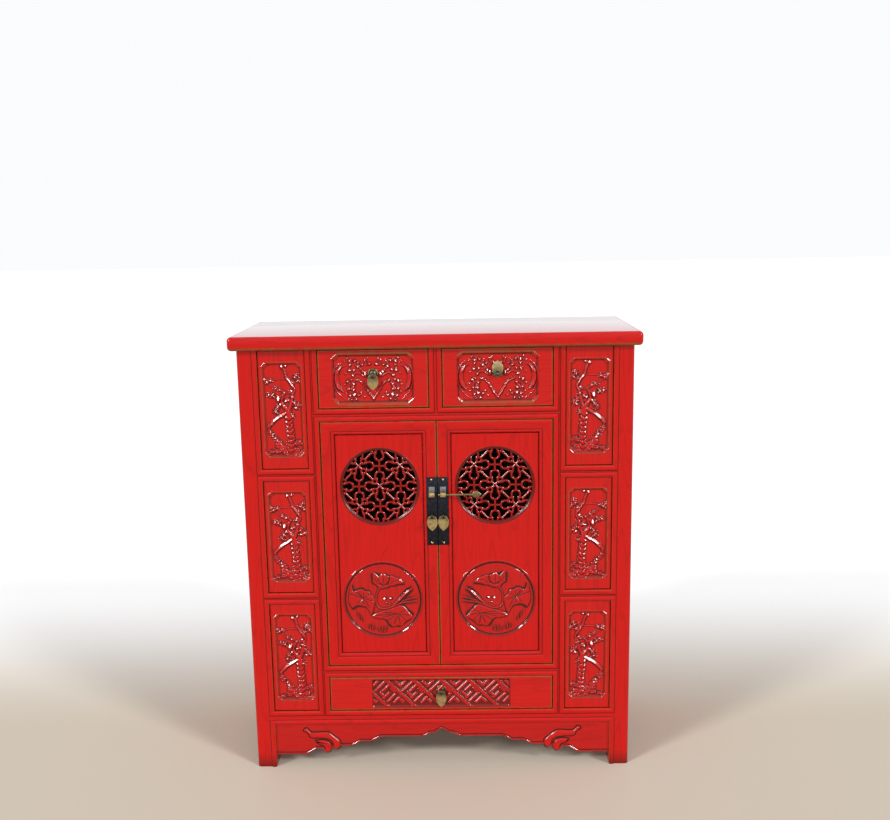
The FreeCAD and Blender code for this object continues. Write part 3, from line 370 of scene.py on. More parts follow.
finished(UPRIGHT_LACQUER, "front_left_post", "front_right_post", "back_left_post", "back_right_post")
finished(UPRIGHT_LACQUER, "left_inner_stile", "right_inner_stile", "drawer_divider")
finished(LEVEL_LACQUER, "door_head_rail", "door_sill_rail", "front_bottom_rail")
finished(LEVEL_LACQUER, "left_column_rails", "right_column_rails", "back_rails")
finished(DEEP_LACQUER, "left_side_rails", "right_side_rails", "left_side_apron", "right_side_apron")
finished(UPRIGHT_LACQUER, "left_side_panels", "right_side_panels")

# Carved column panels
# Six loose elm panels, three in each column of the front, held in grooves of the posts, stiles and rails.
# Each has a sunk cartouche with cut corners, carved with a scaly pine that grows out of rocks.
PANEL_FACE = -166.0
PANEL_BACK = -150.0
PANEL_GAP = 0.6
GRID_STEP = 0.7
CARTOUCHE = (43.5, 105.5, 11.0)
GROUND_DEPTH = 3.6
CHISEL_STEP = 0.6
CHISEL_STEEP = 2.6
LEAST_SLOPE = 0.3
LEAST_WIDTH = 1e-6
UPRIGHT_LEAN = 0.3
TINY = 1e-9
FAR = 1e3
EDGE_WEAR = 0.6
DIRT_AND_SHADE_FADE = 3
PETALS = 5
PETAL_LEAST = 0.70
PETAL_SWELL = 0.30
PETAL_RISE = 0.55
BOSS_SHARE = 0.74
NEEDLES = 5
NEEDLE_FAN = 4.4
NEEDLE_SQUASH = 0.8
NEEDLE_BEND = (0.5, 0.46)
NEEDLE_WIDTHS = (1.0, 1.6, 1.8, 1.0)
SPRAY_HEART = (2.9, 2.7)
HEART_RISE = 1.3
SPRAY_DIRT_AND_SHADE = 0.85
PANEL_CUTS = (
    ((-0.36, 0.63), (0.59, 0.63)),
    ((-0.35, 0.54), (0.58, 0.54)),
    ((-0.34, 0.45), (0.57, 0.45)),
)


def board_grid(left, right, low, high, step):
    across = np.linspace(left, right, round((right - left) / step) + 1)
    up = np.linspace(low, high, round((high - low) / step) + 1)
    return np.meshgrid(across, up)


def smoothed(values, reach):
    """The mean over a square window of cells, taken twice."""
    for axis in (0, 1, 0, 1):
        margin = [(0, 0), (0, 0)]
        margin[axis] = (reach + 1, reach)
        total = np.cumsum(np.pad(values, margin, mode="edge"), axis=axis)
        span = 2 * reach + 1
        if axis == 0:
            values = (total[span:] - total[:-span]) / span
        else:
            values = (total[:, span:] - total[:, :-span]) / span
    return values


def carved_board(across, up, face, back, relief, rubbed, dirt_and_shade):
    """A closed board whose front follows a relief over a grid of points."""
    rows, columns = across.shape
    front = np.column_stack((across.ravel(), (face - relief).ravel(), up.ravel()))
    index = np.arange(rows * columns).reshape(rows, columns)
    cells = np.stack((index[:-1, :-1], index[:-1, 1:], index[1:, 1:], index[1:, :-1]), axis=-1)
    rim = np.concatenate((index[0, :-1], index[:-1, -1], index[-1, :0:-1], index[:0:-1, 0]))
    rear = front[rim].copy()
    rear[:, 1] = back
    behind = np.arange(len(rim)) + rows * columns
    walls = np.column_stack((rim, behind, np.roll(behind, -1), np.roll(rim, -1)))
    faces = cells.reshape(-1, 4).tolist() + walls.tolist() + [behind[::-1].tolist()]
    edges = np.full(len(rim), EDGE_WEAR)
    rubbed, dirt_and_shade = [np.concatenate((values.ravel(), edges)) for values in (rubbed, dirt_and_shade)]
    return Shape(np.vstack((front, rear)), faces, rubbed, dirt_and_shade)


def smooth_path(points, per_span=5):
    """A flowing line through the given points."""
    path = np.array(points, float)
    padded = np.vstack((2 * path[0] - path[1], path, 2 * path[-1] - path[-2]))
    share = np.linspace(0, 1, per_span, endpoint=False)[:, None]
    spans = []
    for a, b, c, d in zip(padded, padded[1:], padded[2:], padded[3:]):
        bend = (2 * a - 5 * b + 4 * c - d) * share**2 + (3 * b - a - 3 * c + d) * share**3
        spans.append(0.5 * (2 * b + (c - a) * share + bend))
    return np.vstack(spans + [path[-1:]])


def eased(share):
    share = np.clip(share, 0, 1)
    return share * share * (3 - 2 * share)


def off_segment(x, z, start, run):
    """The share of a segment at which each point is nearest to it, and how far off the point lies."""
    share = np.clip(((x - start[0]) * run[0] + (z - start[1]) * run[1]) / (run @ run + TINY), 0, 1)
    return share, np.hypot(x - start[0] - share * run[0], z - start[1] - share * run[1])


class Carving:
    """Relief worked up stroke by stroke over flat lists of points; heights are above the sunk ground. The
    cuts are the slopes (across, up) that the chisel gives to what leans to the left and to the right."""

    def __init__(self, across, up, cuts):
        self.cuts = np.array(cuts)
        self.across = across.ravel()
        self.up = up.ravel()
        self.height = np.zeros(self.across.size)
        self.deep = np.zeros(self.across.size)

    def near(self, low_x, high_x, low_z, high_z):
        inside = (self.across > low_x) & (self.across < high_x) & (self.up > low_z) & (self.up < high_z)
        return np.nonzero(inside)[0]

    def around(self, x, z, half_width, half_height):
        """The points in a box about a place, and how far they lie from its middle."""
        chosen = self.near(x - half_width, x + half_width, z - half_height, z + half_height)
        return chosen, self.across[chosen] - x, self.up[chosen] - z

    def along(self, path, reach):
        """The points within reach of a path, and their places."""
        low, high = path.min(axis=0) - reach, path.max(axis=0) + reach
        chosen = self.near(low[0], high[0], low[1], high[1])
        return chosen, self.across[chosen], self.up[chosen]

    def lift(self, chosen, rise):
        """Raises points to a height unless they are higher."""
        self.height[chosen] = np.maximum(self.height[chosen], rise)

    def darken(self, x, z, reach, level):
        """Dirt and painted shade left in the ground about a point."""
        chosen, off_x, off_z = self.around(x, z, reach, reach)
        dirt_and_shade = level * eased((reach - np.hypot(off_x, off_z)) / DIRT_AND_SHADE_FADE)
        self.deep[chosen] = np.maximum(self.deep[chosen], dirt_and_shade)

    def chiselled(self, inset, climb, height):
        """The rise of a stroke with steep sides; its top climbs as a facet from a low step to a crown."""
        rise = np.minimum(np.minimum(CHISEL_STEP + climb, height), CHISEL_STEEP * inset)
        return np.maximum(rise, 0)

    def ridge(self, points, widths, height, lean=-1):
        """A raised stroke along a flowing line with its facet on the upper side, or on the side of the lean
        where it stands upright; the widths are half widths from its start to its end."""
        path = smooth_path(points)
        chosen, x, z = self.along(path, max(widths))
        steps = np.hypot(*np.diff(path, axis=0).T)
        along = np.concatenate(((0,), np.cumsum(steps))) / steps.sum()
        half = np.interp(along, np.linspace(0, 1, len(widths)), widths)
        best = np.zeros(len(chosen))
        for start, end, wide_start, wide_end in zip(path, path[1:], half, half[1:]):
            run = end - start
            facing = np.array((-run[1], run[0])) / (math.hypot(*run) + TINY)
            if facing[1] + UPRIGHT_LEAN * lean * facing[0] < 0:
                facing = -facing
            slope = max(LEAST_SLOPE, self.cuts[int(facing[0] > 0)] @ facing)
            share, gap = off_segment(x, z, start, run)
            wide = wide_start + share * (wide_end - wide_start) + LEAST_WIDTH
            side = (x - start[0]) * facing[0] + (z - start[1]) * facing[1]
            best = np.maximum(best, self.chiselled(wide - gap, slope * (wide - side), height))
        self.lift(chosen, best)

    def cut(self, points, width, depth):
        """A fine groove along a flowing line."""
        path = smooth_path(points)
        chosen, x, z = self.along(path, width)
        gap = np.full(len(chosen), width)
        for start, end in zip(path, path[1:]):
            gap = np.minimum(gap, off_segment(x, z, start, end - start)[1])
        self.height[chosen] = np.maximum(self.height[chosen] - depth * (1 - (gap / width) ** 2), 0)

    def blossom(self, x, z, radius, height, lean=-1):
        """A round flower with low petals and a boss in its middle."""
        chosen, off_x, off_z = self.around(x, z, radius, radius)
        away = np.hypot(off_x, off_z) / radius
        turn = np.arctan2(off_z, off_x) + x
        edge = PETAL_LEAST + PETAL_SWELL * np.abs(np.cos(PETALS * turn / 2))
        self.lift(chosen, PETAL_RISE * height * (1 - np.clip(away / edge, 0, 1) ** 3))
        self.dome(x, z, radius * BOSS_SHARE, radius * BOSS_SHARE, height, lean)

    def spray(self, x, z, reach, height, turn):
        """A spray of pine needles that fan out from one point, with dirt and painted shade between them."""
        for number in range(NEEDLES):
            angle = turn + NEEDLE_FAN * (number / (NEEDLES - 1) - 0.5)
            out, up = math.cos(angle), math.sin(angle)
            bend = (x + reach * NEEDLE_BEND[0] * out, z + reach * NEEDLE_BEND[1] * up)
            tip = (x + reach * out, z + reach * NEEDLE_SQUASH * up)
            self.ridge([(x, z), bend, tip], NEEDLE_WIDTHS, height)
        self.dome(x, z, *SPRAY_HEART, height * HEART_RISE)
        self.darken(x, z, reach + 1, SPRAY_DIRT_AND_SHADE)

    def plateau(self, points, height, slope):
        """A raised area inside a closed flowing line, with its edges cut to a slope."""
        path = smooth_path(list(points) + [points[0]], 4)
        chosen, x, z = self.along(path, 0)
        inside = np.zeros(len(chosen), bool)
        gap = np.full(len(chosen), FAR)
        for start, end in zip(path, path[1:]):
            run = end - start
            gap = np.minimum(gap, off_segment(x, z, start, run)[1])
            crossing = (start[1] > z) != (end[1] > z)
            reach = start[0] + (z - start[1]) * run[0] / (run[1] if run[1] else TINY)
            inside ^= crossing & (x < reach)
        self.lift(chosen, np.where(inside, self.chiselled(gap, slope * gap, height), 0))

    def dome(self, x, z, half_width, half_height, height, lean=-1):
        """An oval boss whose top is one facet that leans to a side."""
        chosen, off_x, off_z = self.around(x, z, half_width, half_height)
        away = np.hypot(off_x / half_width, off_z / half_height)
        tilt = self.cuts[int(lean > 0)]
        reach = math.hypot(tilt[0] * half_width, tilt[1] * half_height)
        inset = (1 - away) * min(half_width, half_height)
        self.lift(chosen, self.chiselled(inset, reach - tilt[0] * off_x - tilt[1] * off_z, height))

    def boulder(self, x, z, half_width, half_height, height):
        """A round stone."""
        chosen, off_x, off_z = self.around(x, z, half_width, half_height)
        away = np.hypot(off_x / half_width, off_z / half_height)
        self.lift(chosen, height * np.sqrt(np.clip(1 - away**2, 0, 1)))


SCALE_ROWS = 8
SCALE_LOW = -94.0
SCALE_PITCH = 10.5
SCALE_UP = 4.5
SCALES = ((-5.6, 3.5, 4.4, 4.8, -1), (5.0, 3.0, 3.6, 3.6, 1))
SCALE_CUT = (1.5, 2.2)
BARK_CUT = (0.9, 0.7)
TRUNK_WIDTHS = (11, 10.5, 9.5, 8.5, 7)
TRUNK_RISE = 2.6
BUD_RISE = 3.2
NEEDLE_RISE = 2.9
SPRAY_TURN = 0.25
ROCK_RISE = 2.8
ROCK_CROWN = (0.42, 0.5, 4.6)
ROCK_DIRT_AND_SHADE = 0.8
ROCK_CUT = (1, 1.2)


def carve_pine(carving, seed):
    """The pine of one cartouche, drawn about its middle: crown, boughs, scaly trunk and rocks."""
    vary = np.random.default_rng(seed)

    def near_to(x, z, by=0.8):
        return x + vary.uniform(-by, by), z + vary.uniform(-by, by)

    trunk = [(14, -98), (12, -80), (14, -60), (13, -40), (12, -22), (10, -8)]
    carving.ridge(trunk, TRUNK_WIDTHS, TRUNK_RISE)
    for level in range(SCALE_ROWS):
        foot = SCALE_LOW + SCALE_PITCH * level
        middle = np.interp(foot, (-98, -60, -8), (14, 14, 10))
        for aside, half_width, half_height, height, lean in SCALES:
            carving.dome(middle + aside, foot + SCALE_UP, half_width, half_height, height, lean)
        carving.cut([(middle - 9, foot + 5), (middle - 5, foot - 1), (middle, foot - 4)], *SCALE_CUT)
        carving.cut([(middle, foot - 4), (middle + 5, foot - 1), (middle + 9, foot + 5)], *SCALE_CUT)
    carving.cut([(13, -98), (13, -60), (12, -20)], *BARK_CUT)
    boughs = (
        ([(7, -5), (-4, -12), (-14, -18), (-24, -26), (-34, -37)], (3.0, 3.6, 3.5, 3.9, 3.0), 4.2),
        ([(-32, -38), (-32.5, -45), (-28, -54), (-24, -62)], (2.2, 1.8, 1.6, 1.4), 2.6),
        ([(10, -10), (7, 2), (1, 10), (-3, 20), (1, 31), (6, 40)], (5, 4.5, 3.6, 3.2, 2.6, 2.0), 3.0),
        ([(10, -6), (16, 8), (20, 22), (22, 34), (27, 44), (24, 54)], (4.6, 3.6, 3.2, 2.8, 2.4, 2.0), 3.0),
        ([(24, 52), (17, 63), (11, 72), (8, 82), (4, 93)], (3.0, 2.8, 2.6, 2.6, 2.4), 3.4),
        ([(11, 70), (0, 69.5), (-12, 69), (-22, 66)], (1.3, 1.6, 1.5, 1.3), 1.9),
        ([(8, 38), (-2, 44), (-14, 48), (-27, 57)], (1.8, 1.7, 1.5, 1.2), 2.2),
        ([(1, 34), (-6, 30), (-12, 24), (-11, 15)], (0.6, 3.2, 4.0, 3.2, 0.6), 2.6),
    )
    for points, widths, height in boughs:
        carving.ridge(points, widths, height)
    carving.dome(-9, 25, 4.8, 7.4, 5.6)
    buds = (
        (0.5, 96, 4.2), (9.5, 99, 3.0), (-5, 13, 3.2), (7, 21, 3.2), (5, 39, 3.2), (20, 43, 3.2),
        (3, -97, 3.4),
    )
    for x, z, radius in buds:
        place_x, place_z = near_to(x, z)
        carving.dome(place_x, place_z, radius, radius, BUD_RISE)
    sprays = (
        (28, 72, 8, 0.6), (36, 66, 8, 0.2), (33, 78, 6, 1.6), (-32, 63, 8, 2.6), (-24, 66, 7, 1.4),
        (-37, 69, 6, 2.0), (-14, 49, 7, 2.2), (-5, 45, 6, 1.6), (-22, 33, 9, 3.1), (-31, 35, 7, 2.9),
        (20, 30, 7, 0.4), (26, 16, 8, -0.2), (34, 10, 8, 0.1), (28, 5, 7, -0.8), (18, 40, 6, 1.2),
        (-12, 6, 8, 2.9), (-16, -3, 9, 3.4), (-27, -56, 7, 3.0), (-20, -62, 8, -0.6), (-17, -69, 7, -1.2),
        (13, -8, 8, 1.8), (20, -14, 8, 0.3), (8, -16, 6, 2.6), (24, 61, 6, 1.0), (12, 22, 5, 0.8),
        (-30, -49, 6, 2.2),
    )
    for x, z, reach, turn in sprays:
        place_x, place_z = near_to(x, z, 1.0)
        carving.spray(place_x, place_z, reach, NEEDLE_RISE, turn + vary.uniform(-SPRAY_TURN, SPRAY_TURN))
    rocks = (
        (-14, -80, 8, 7), (-5, -86, 8, 9), (-16, -92, 7, 5), (2, -95, 7, 6), (25, -76, 6, 5),
        (32, -71, 5, 4), (36, -75, 5, 4), (26, -90, 7, 6), (37, -96, 5, 5), (41, -92, 3.4, 4),
        (30, -99, 6, 4), (-29, -95, 6, 4), (-36, -99, 5, 3.6), (-10, -72, 5, 4), (14, -101, 6, 3.4),
    )
    for x, z, half_width, half_height in rocks:
        place_x, place_z = near_to(x, z, 1.0)
        carving.boulder(place_x, place_z, half_width, half_height, ROCK_RISE)
        crown = (half_width * ROCK_CROWN[0], half_height * ROCK_CROWN[1], ROCK_CROWN[2])
        carving.dome(place_x - 1, place_z + 1, *crown)
        carving.darken(place_x, place_z, half_width + DIRT_AND_SHADE_FADE, ROCK_DIRT_AND_SHADE)
        left_end, right_end = (place_x - half_width, place_z - 1), (place_x + half_width, place_z)
        carving.cut([left_end, (place_x, place_z + 1), right_end], *ROCK_CUT)


CANT_ACROSS = 0.66
CANT_UP = 0.75
SLOPE_FROM = 0.9
SLOPE_RUN = 3.3
CORNER_RUN = 2.6
SIDE_RIM = (-3.1, -1.4, -1.0, 0.9)
CORNER_RIM = (-3.8, -1.4, -1.0, 0.9)
SIDE_RISE = 0.2
CORNER_RISE = 1.3
CLOSE_REACH = 1.1
BROAD_REACH = 3.2
CLOSE_DIRT_AND_SHADE = (2.0, 0.12, 0.95)
BROAD_DIRT_AND_SHADE = (1.1, 0.35, 0.8)
MOST_DIRT_AND_SHADE = 0.96
WORN_FROM = 1.6
WORN_SHARE = 0.2
CARVING_FROM = 1.6
PANEL_EDGE = (1.2, 1.6)
FIRST_SEED = 3
LOW_GROUND = 1.2
SLOPE_AT = (4.4, 1.6)
FOOT_AT = (1.6, 1.3)
LIP_AT = (0.6, 1.6)
JOINT_AT = (0, 1.2)
SLOPE_CLEAN = 0.55
END_RUN = 6
END_DIRT_AND_SHADE = 0.6
SIDE_DIRT_AND_SHADE = 0.3
JOINT_SOIL = 0.55
LIP_WEAR = 0.5


def inside_cartouche(x, z, half_width, half_height, corner):
    """How far a point lies inside a rectangle with cut corners."""
    inset = np.minimum(half_width - np.abs(x), half_height - np.abs(z))
    cant = CANT_ACROSS * (half_width - np.abs(x) - corner) + CANT_UP * (half_height - np.abs(z))
    return np.minimum(inset, cant)


def corner_share(x, z, half_width, half_height, corner):
    """1 along the cut corners of a cartouche, 0 along its sides."""
    straight = np.minimum(half_width - np.abs(x), half_height - np.abs(z))
    inset = inside_cartouche(x, z, half_width, half_height, corner)
    return eased((straight - inset) / 2)


def sunk_field(inset, depth, rim, cut_corner):
    """The raised rim round a sunk field and the ground inside it; both slope more gently at a cut corner."""
    ground = -depth * np.clip((inset - SLOPE_FROM) / (SLOPE_RUN + CORNER_RUN * cut_corner), 0, 1)
    side = SIDE_RISE * np.interp(inset, SIDE_RIM, (0, 1, 1, 0))
    corner = CORNER_RISE * np.interp(inset, CORNER_RIM, (0, 1, 1, 0))
    return ground + rim * (side + (corner - side) * cut_corner)


def deep_dirt_and_shade(hollow, gain, least, most):
    """Dirt and painted shade that grow with how deep a point lies, from a least depth on."""
    return np.clip(-hollow * gain - least, 0, most)


def aged(relief, step):
    """Wear on what stands up, and dirt with painted shade in what lies deep, from a relief in millimetres.
    """
    close = relief - smoothed(relief, max(1, round(CLOSE_REACH / step)))
    broad = relief - smoothed(relief, max(1, round(BROAD_REACH / step)))
    dirt_and_shade = deep_dirt_and_shade(close, *CLOSE_DIRT_AND_SHADE) + deep_dirt_and_shade(broad, *BROAD_DIRT_AND_SHADE)
    return np.clip(broad - WORN_FROM, 0, 1) * WORN_SHARE, np.clip(dirt_and_shade, 0, MOST_DIRT_AND_SHADE)


def rounded_off(edge, drop, run):
    """How far a face falls off towards its edge."""
    return drop * (1 - np.clip(edge / run, 0, 1)) ** 2


def band(distance, middle, width):
    """1 where a distance is that of the middle, fading to both sides of it."""
    return np.exp(-(((distance - middle) / width) ** 2))


for side, sign in SIDES.items():
    for number, (low, high) in enumerate(COLUMN_OPENINGS):
        sides = STILE_OUT + PANEL_GAP, POST_IN - PANEL_GAP
        across, up = board_grid(*sides, low + PANEL_GAP, high - PANEL_GAP, GRID_STEP)
        x = (STILE_OUT + POST_IN) / 2 - across
        z = up - (low + high) / 2
        carving = Carving(x, z, PANEL_CUTS[number])
        carve_pine(carving, FIRST_SEED + number)
        inset = inside_cartouche(x, z, *CARTOUCHE)
        relief = sunk_field(inset, GROUND_DEPTH, 1, corner_share(x, z, *CARTOUCHE))
        relief += carving.height.reshape(x.shape) * eased((inset - CARVING_FROM) / 2)
        level_edge = np.minimum(across - across.min(), across.max() - across)
        edge = np.minimum(level_edge, np.minimum(up - up.min(), up.max() - up))
        relief -= rounded_off(edge, *PANEL_EDGE)
        # Wear on the tops of the carving, and dirt with painted shade in its hollows.
        rubbed, dirt_and_shade = aged(relief, GRID_STEP)
        dirt_and_shade *= 1 - SLOPE_CLEAN * band(inset, *SLOPE_AT)
        low_ground = carving.height.reshape(x.shape) < LOW_GROUND
        # The ground about sprays, rocks and blossoms is dark with dirt and painted shade.
        dirt_and_shade = np.maximum(dirt_and_shade, carving.deep.reshape(x.shape) * low_ground * eased((inset - 1) / DIRT_AND_SHADE_FADE))
        # Dirt and painted shade at the foot of the cartouche's wall, heavier at its ends.
        ends = np.where(np.abs(z) > CARTOUCHE[1] - END_RUN, END_DIRT_AND_SHADE, SIDE_DIRT_AND_SHADE)
        dirt_and_shade = np.maximum(dirt_and_shade, ends * band(inset, *FOOT_AT))
        dirt_and_shade = np.maximum(dirt_and_shade, JOINT_SOIL * band(edge, *JOINT_AT))
        rubbed = np.maximum(rubbed, LIP_WEAR * band(inset, *LIP_AT))
        panel = carved_board(across, up, PANEL_FACE, PANEL_BACK, relief, rubbed, dirt_and_shade)
        if sign < 0:
            panel = panel.mirrored()
        piece = make_piece(f"{side}_pine_panel_{number + 1}", panel, (CARVED_UPRIGHT,))
        fixed(piece, "cabinet", "red_lacquer", f"{side}_carved_panels")

# Boards inside
# Plain unlacquered boards inside the carcass: bottom, floor, deck and shelf, the back panels, the bearers
# under the shelf, the drawer guides, the door stops and the drawer boxes. Nailed or let into grooves.
WOOD_BROWN = (0.16, 0.085, 0.040, 1)
WOOD_DARK = (0.075, 0.036, 0.016, 1)
WOOD_FINISH = {"Roughness": 0.75, "Specular IOR Level": 0.2}
WOOD_WAVES = (60, 2.5)
WOOD_DETAIL = 4
WOOD_LEVELS = ((0.35, 0), (0.65, 1))


def plain_wood(name, along):
    """Bare wood whose grain runs along one axis."""
    material, tree, shader = new_material(name, WOOD_FINISH)
    grain = spread(tree, stretched_noise(tree, grain_scales(along, WOOD_WAVES), WOOD_DETAIL), WOOD_LEVELS)
    tree.links.new(mixed_colour(tree, grain, WOOD_BROWN, WOOD_DARK), shader.inputs["Base Color"])
    return material


LEVEL_WOOD = plain_wood("plain_wood_level", "X")
DEEP_WOOD = plain_wood("plain_wood_deep", "Y")
UPRIGHT_WOOD = plain_wood("plain_wood_upright", "Z")
finished(LEVEL_WOOD, "bottom_board", "compartment_floor", "drawer_deck", "shelf", "door_stops")
finished(DEEP_WOOD, "shelf_bearers", "top_drawer_guides", "bottom_drawer_guides")
finished(UPRIGHT_WOOD, "back_panels")
for drawer in ("left_drawer", "right_drawer", "bottom_drawer"):
    finished(DEEP_WOOD, f"{drawer}_box")

# Front apron
# One scalloped board tenoned between the legs under the bottom rail, with a scroll carved on each side.
# Its lower edge carries a bead under a dark line of painted shade, and the slopes of the bead catch the
# light.
APRON_FACE = -165.0
APRON_BACK = -149.0
APRON_ROUND = 1.0
CLOSE_TO = 0.01
OGEE_SIDES = 8
OGEE_EASE = 0.25


def ogee(points, x, z):
    """Adds a slope that is eased a little at both ends."""
    start_x, start_z = points[-1]
    for step in range(1, OGEE_SIDES + 1):
        share = step / OGEE_SIDES
        climb = (1 - OGEE_EASE) * share + OGEE_EASE * share * share * (3 - 2 * share)
        points.append((start_x + (x - start_x) * share, start_z + (z - start_z) * climb))


def hanging_lobe(points, radius):
    """Adds a half circle that hangs below the edge."""
    start_x, start_z = points[-1]
    for step in range(1, OGEE_SIDES + 1):
        turn = math.pi * step / OGEE_SIDES
        points.append((start_x + radius * (1 - math.cos(turn)), start_z - radius * math.sin(turn)))


edge_line = [(-POST_IN, 30), (-318, 30)]
ogee(edge_line, -292, 44)
edge_line.append((-279, 44))
hanging_lobe(edge_line, 10)
edge_line.append((-256, 50))
hanging_lobe(edge_line, 8)
edge_line.append((-211, 50))
ogee(edge_line, -189, 61)
edge_line.append((-164, 61))
ogee(edge_line, -142, 72)
edge_line.append((-42, 72))
ogee(edge_line, -27, 80)
edge_line += [(-17, 81), (0, 92)]
edge_line += [(-x, z) for x, z in edge_line[-2::-1]]
outline = [(-POST_IN, LEG_ROOM)] + edge_line + [(POST_IN, LEG_ROOM)]


def shape_of(builder):
    """The points and faces of a bmesh, in millimetres."""
    builder.verts.index_update()
    points = [tuple(vert.co) for vert in builder.verts]
    faces = [[vert.index for vert in face.verts] for face in builder.faces]
    builder.free()
    return Shape(points, faces)


def bevel(builder, edges, radius, segments):
    bmesh.ops.bevel(
        builder, geom=edges, offset=radius, segments=segments, profile=0.5, affect="EDGES",
        clamp_overlap=True,
    )


def sawn_board(outline, face, back, rounding):
    """A board sawn to an outline, its front edge rounded except where it meets the posts and the rail."""
    builder = bmesh.new()
    front = builder.faces.new([builder.verts.new((x, face, z)) for x, z in outline])
    pushed = bmesh.ops.extrude_face_region(builder, geom=[front])
    for item in pushed["geom"]:
        if isinstance(item, bmesh.types.BMVert):
            item.co.y = back
    bmesh.ops.recalc_face_normals(builder, faces=builder.faces)
    arris = []
    for edge in builder.edges:
        in_front = all(abs(vert.co.y - face) < CLOSE_TO for vert in edge.verts)
        if in_front and not all(on_a_joint(vert.co) for vert in edge.verts):
            arris.append(edge)
    bevel(builder, arris, rounding, 3)
    return shape_of(builder)


def on_a_joint(place):
    return abs(abs(place.x) - POST_IN) < CLOSE_TO or abs(place.z - LEG_ROOM) < CLOSE_TO


apron = sawn_board(outline, APRON_FACE, APRON_BACK, APRON_ROUND)
# The whole apron is darkened a little as painted shade, for the low front lying further from the light.
apron.dirt_and_shade += 0.1
tongue = [
    (-323, 87), (-321, 93), (-315, 94), (-310, 88), (-304, 84), (-290, 84), (-276, 85), (-266, 84),
    (-256, 77), (-247, 69), (-239, 61), (-239, 49), (-244, 43), (-250, 44), (-255, 52), (-257, 61),
    (-264, 66), (-276, 69), (-290, 70), (-302, 70), (-309, 73), (-312, 80), (-316, 84),
]
hook = [
    (-296, 62), (-284, 64), (-272, 63), (-263, 57), (-259.5, 48), (-262, 38), (-268, 34.5), (-274, 38),
    (-275, 46), (-281, 52), (-290, 55),
]


def grown(outline, by):
    """A closed outline moved outwards all round; the outline runs clockwise as seen from the front."""
    line = np.array(outline)
    run = np.roll(line, -1, 0) - np.roll(line, 1, 0)
    run /= np.hypot(run[:, 0], run[:, 1])[:, None]
    return [tuple(place) for place in line + by * np.column_stack((-run[:, 1], run[:, 0]))]


def lofted(outline, steps):
    """A raised form built up from its outline in steps of (outward move, rise, dirt and painted shade), with
    a flat top.
    """
    count = len(outline)
    points = []
    for by, rise, soil_and_shade in steps:
        points += [(x, APRON_FACE - rise, z) for x, z in grown(outline, by)]
    faces = [face[::-1] for face in quads(len(steps), count)]
    faces.append(tuple(range(len(points) - count, len(points)))[::-1])
    return Shape(points, faces, 0.0, np.repeat([step[2] for step in steps], count))


def edge_strip(line, profile):
    """A strip along a line from left to right; its profile is a list of (distance upward, rise, dirt and
    painted shade).
    """
    line = np.array(line, float)
    run = np.gradient(line, axis=0)
    run /= np.hypot(run[:, 0], run[:, 1])[:, None]
    points = []
    for (x, z), (run_x, run_z) in zip(line, run):
        points += [(x - run_z * away, APRON_FACE - rise, z + run_x * away) for away, rise, soil_and_shade in profile]
    faces = quads(len(line), len(profile), wrap_columns=False, flip=True)
    return Shape(points, faces, 0.0, [entry[2] for entry in profile] * len(line))


# The front of the bead and the line above it are dark with painted shade; the dark foot round each scroll is
# a painted shadow line.
APRON_BEAD = ((-0.3, -6, 0.6), (-0.3, 0.9, 0.5), (0.5, 1.6, 0.25), (1.0, 1.7, 0.15), (2.6, 1.7, 0.15))
APRON_FACET = ((2.6, 1.7, 0.25), (3.4, 1.04, 0.25))
APRON_LINE = ((3.4, 1.04, 0.95), (3.8, 0.12, 0.95), (5.4, 0.12, 0.95), (5.6, -0.1, 0.95))
SCROLL_STEPS = (
    (2.8, -0.2, 0.95), (2.6, 0.15, 0.95), (0.5, 0.2, 0.95), (0, 1.3, 0.5), (-2.7, 3.5, 0), (-3.3, 3.7, 0),
)
for form in (tongue, hook):
    flowing = [tuple(place) for place in smooth_path(form + form[:1], 5)[:-1]]
    scroll = lofted(flowing, SCROLL_STEPS)
    apron = apron + scroll + scroll.mirrored()
for profile in (APRON_BEAD, APRON_FACET, APRON_LINE):
    apron = apron + edge_strip(edge_line, profile)
piece = make_piece("front_apron_carved", apron, (CARVED_LEVEL,), crease=30)
fixed(piece, "cabinet", "red_lacquer", "front_apron")

# Top board
# One thick plank with rounded edges that lies on the posts and overhangs them, pegged from below. Its
# lower edge is brown, partly rubbed bare and partly painted shade under the overhang.
TOP_LOW = (-450.0, -185.0, UNDERSIDE)
TOP_HIGH = (450.0, 185.0, 1015.0)
TOP_ROUND = 9.0
TOP_SEGMENTS = 5
WORN_AND_SHADED_BELOW = 7.5
WORN_AND_SHADED_FADE = 4.0


def rounded_block(low, high, radius, segments):
    """A block with all its edges rounded."""
    builder = bmesh.new()
    bmesh.ops.create_cube(builder, size=1)
    for vert in builder.verts:
        vert.co = [low[axis] if vert.co[axis] < 0 else high[axis] for axis in range(3)]
    bevel(builder, list(builder.edges), radius, segments)
    bmesh.ops.recalc_face_normals(builder, faces=builder.faces)
    return shape_of(builder)


top = rounded_block(TOP_LOW, TOP_HIGH, TOP_ROUND, TOP_SEGMENTS)
# A brown band along the lower edge, worn bare and also standing in for the shade under the overhang.
top.rubbed = np.clip((UNDERSIDE + WORN_AND_SHADED_BELOW - top.points[:, 2]) / WORN_AND_SHADED_FADE, 0, 1)
for number, face in enumerate(top.faces):
    top.finish[number] = 1 if top.points[list(face), 2].min() > TOP_HIGH[2] - 0.1 else 0
piece = make_piece("top_plank", top, (LEVEL_LACQUER, POLISHED_TOP), crease=40)
fixed(piece, "cabinet", "red_lacquer", "top_board")

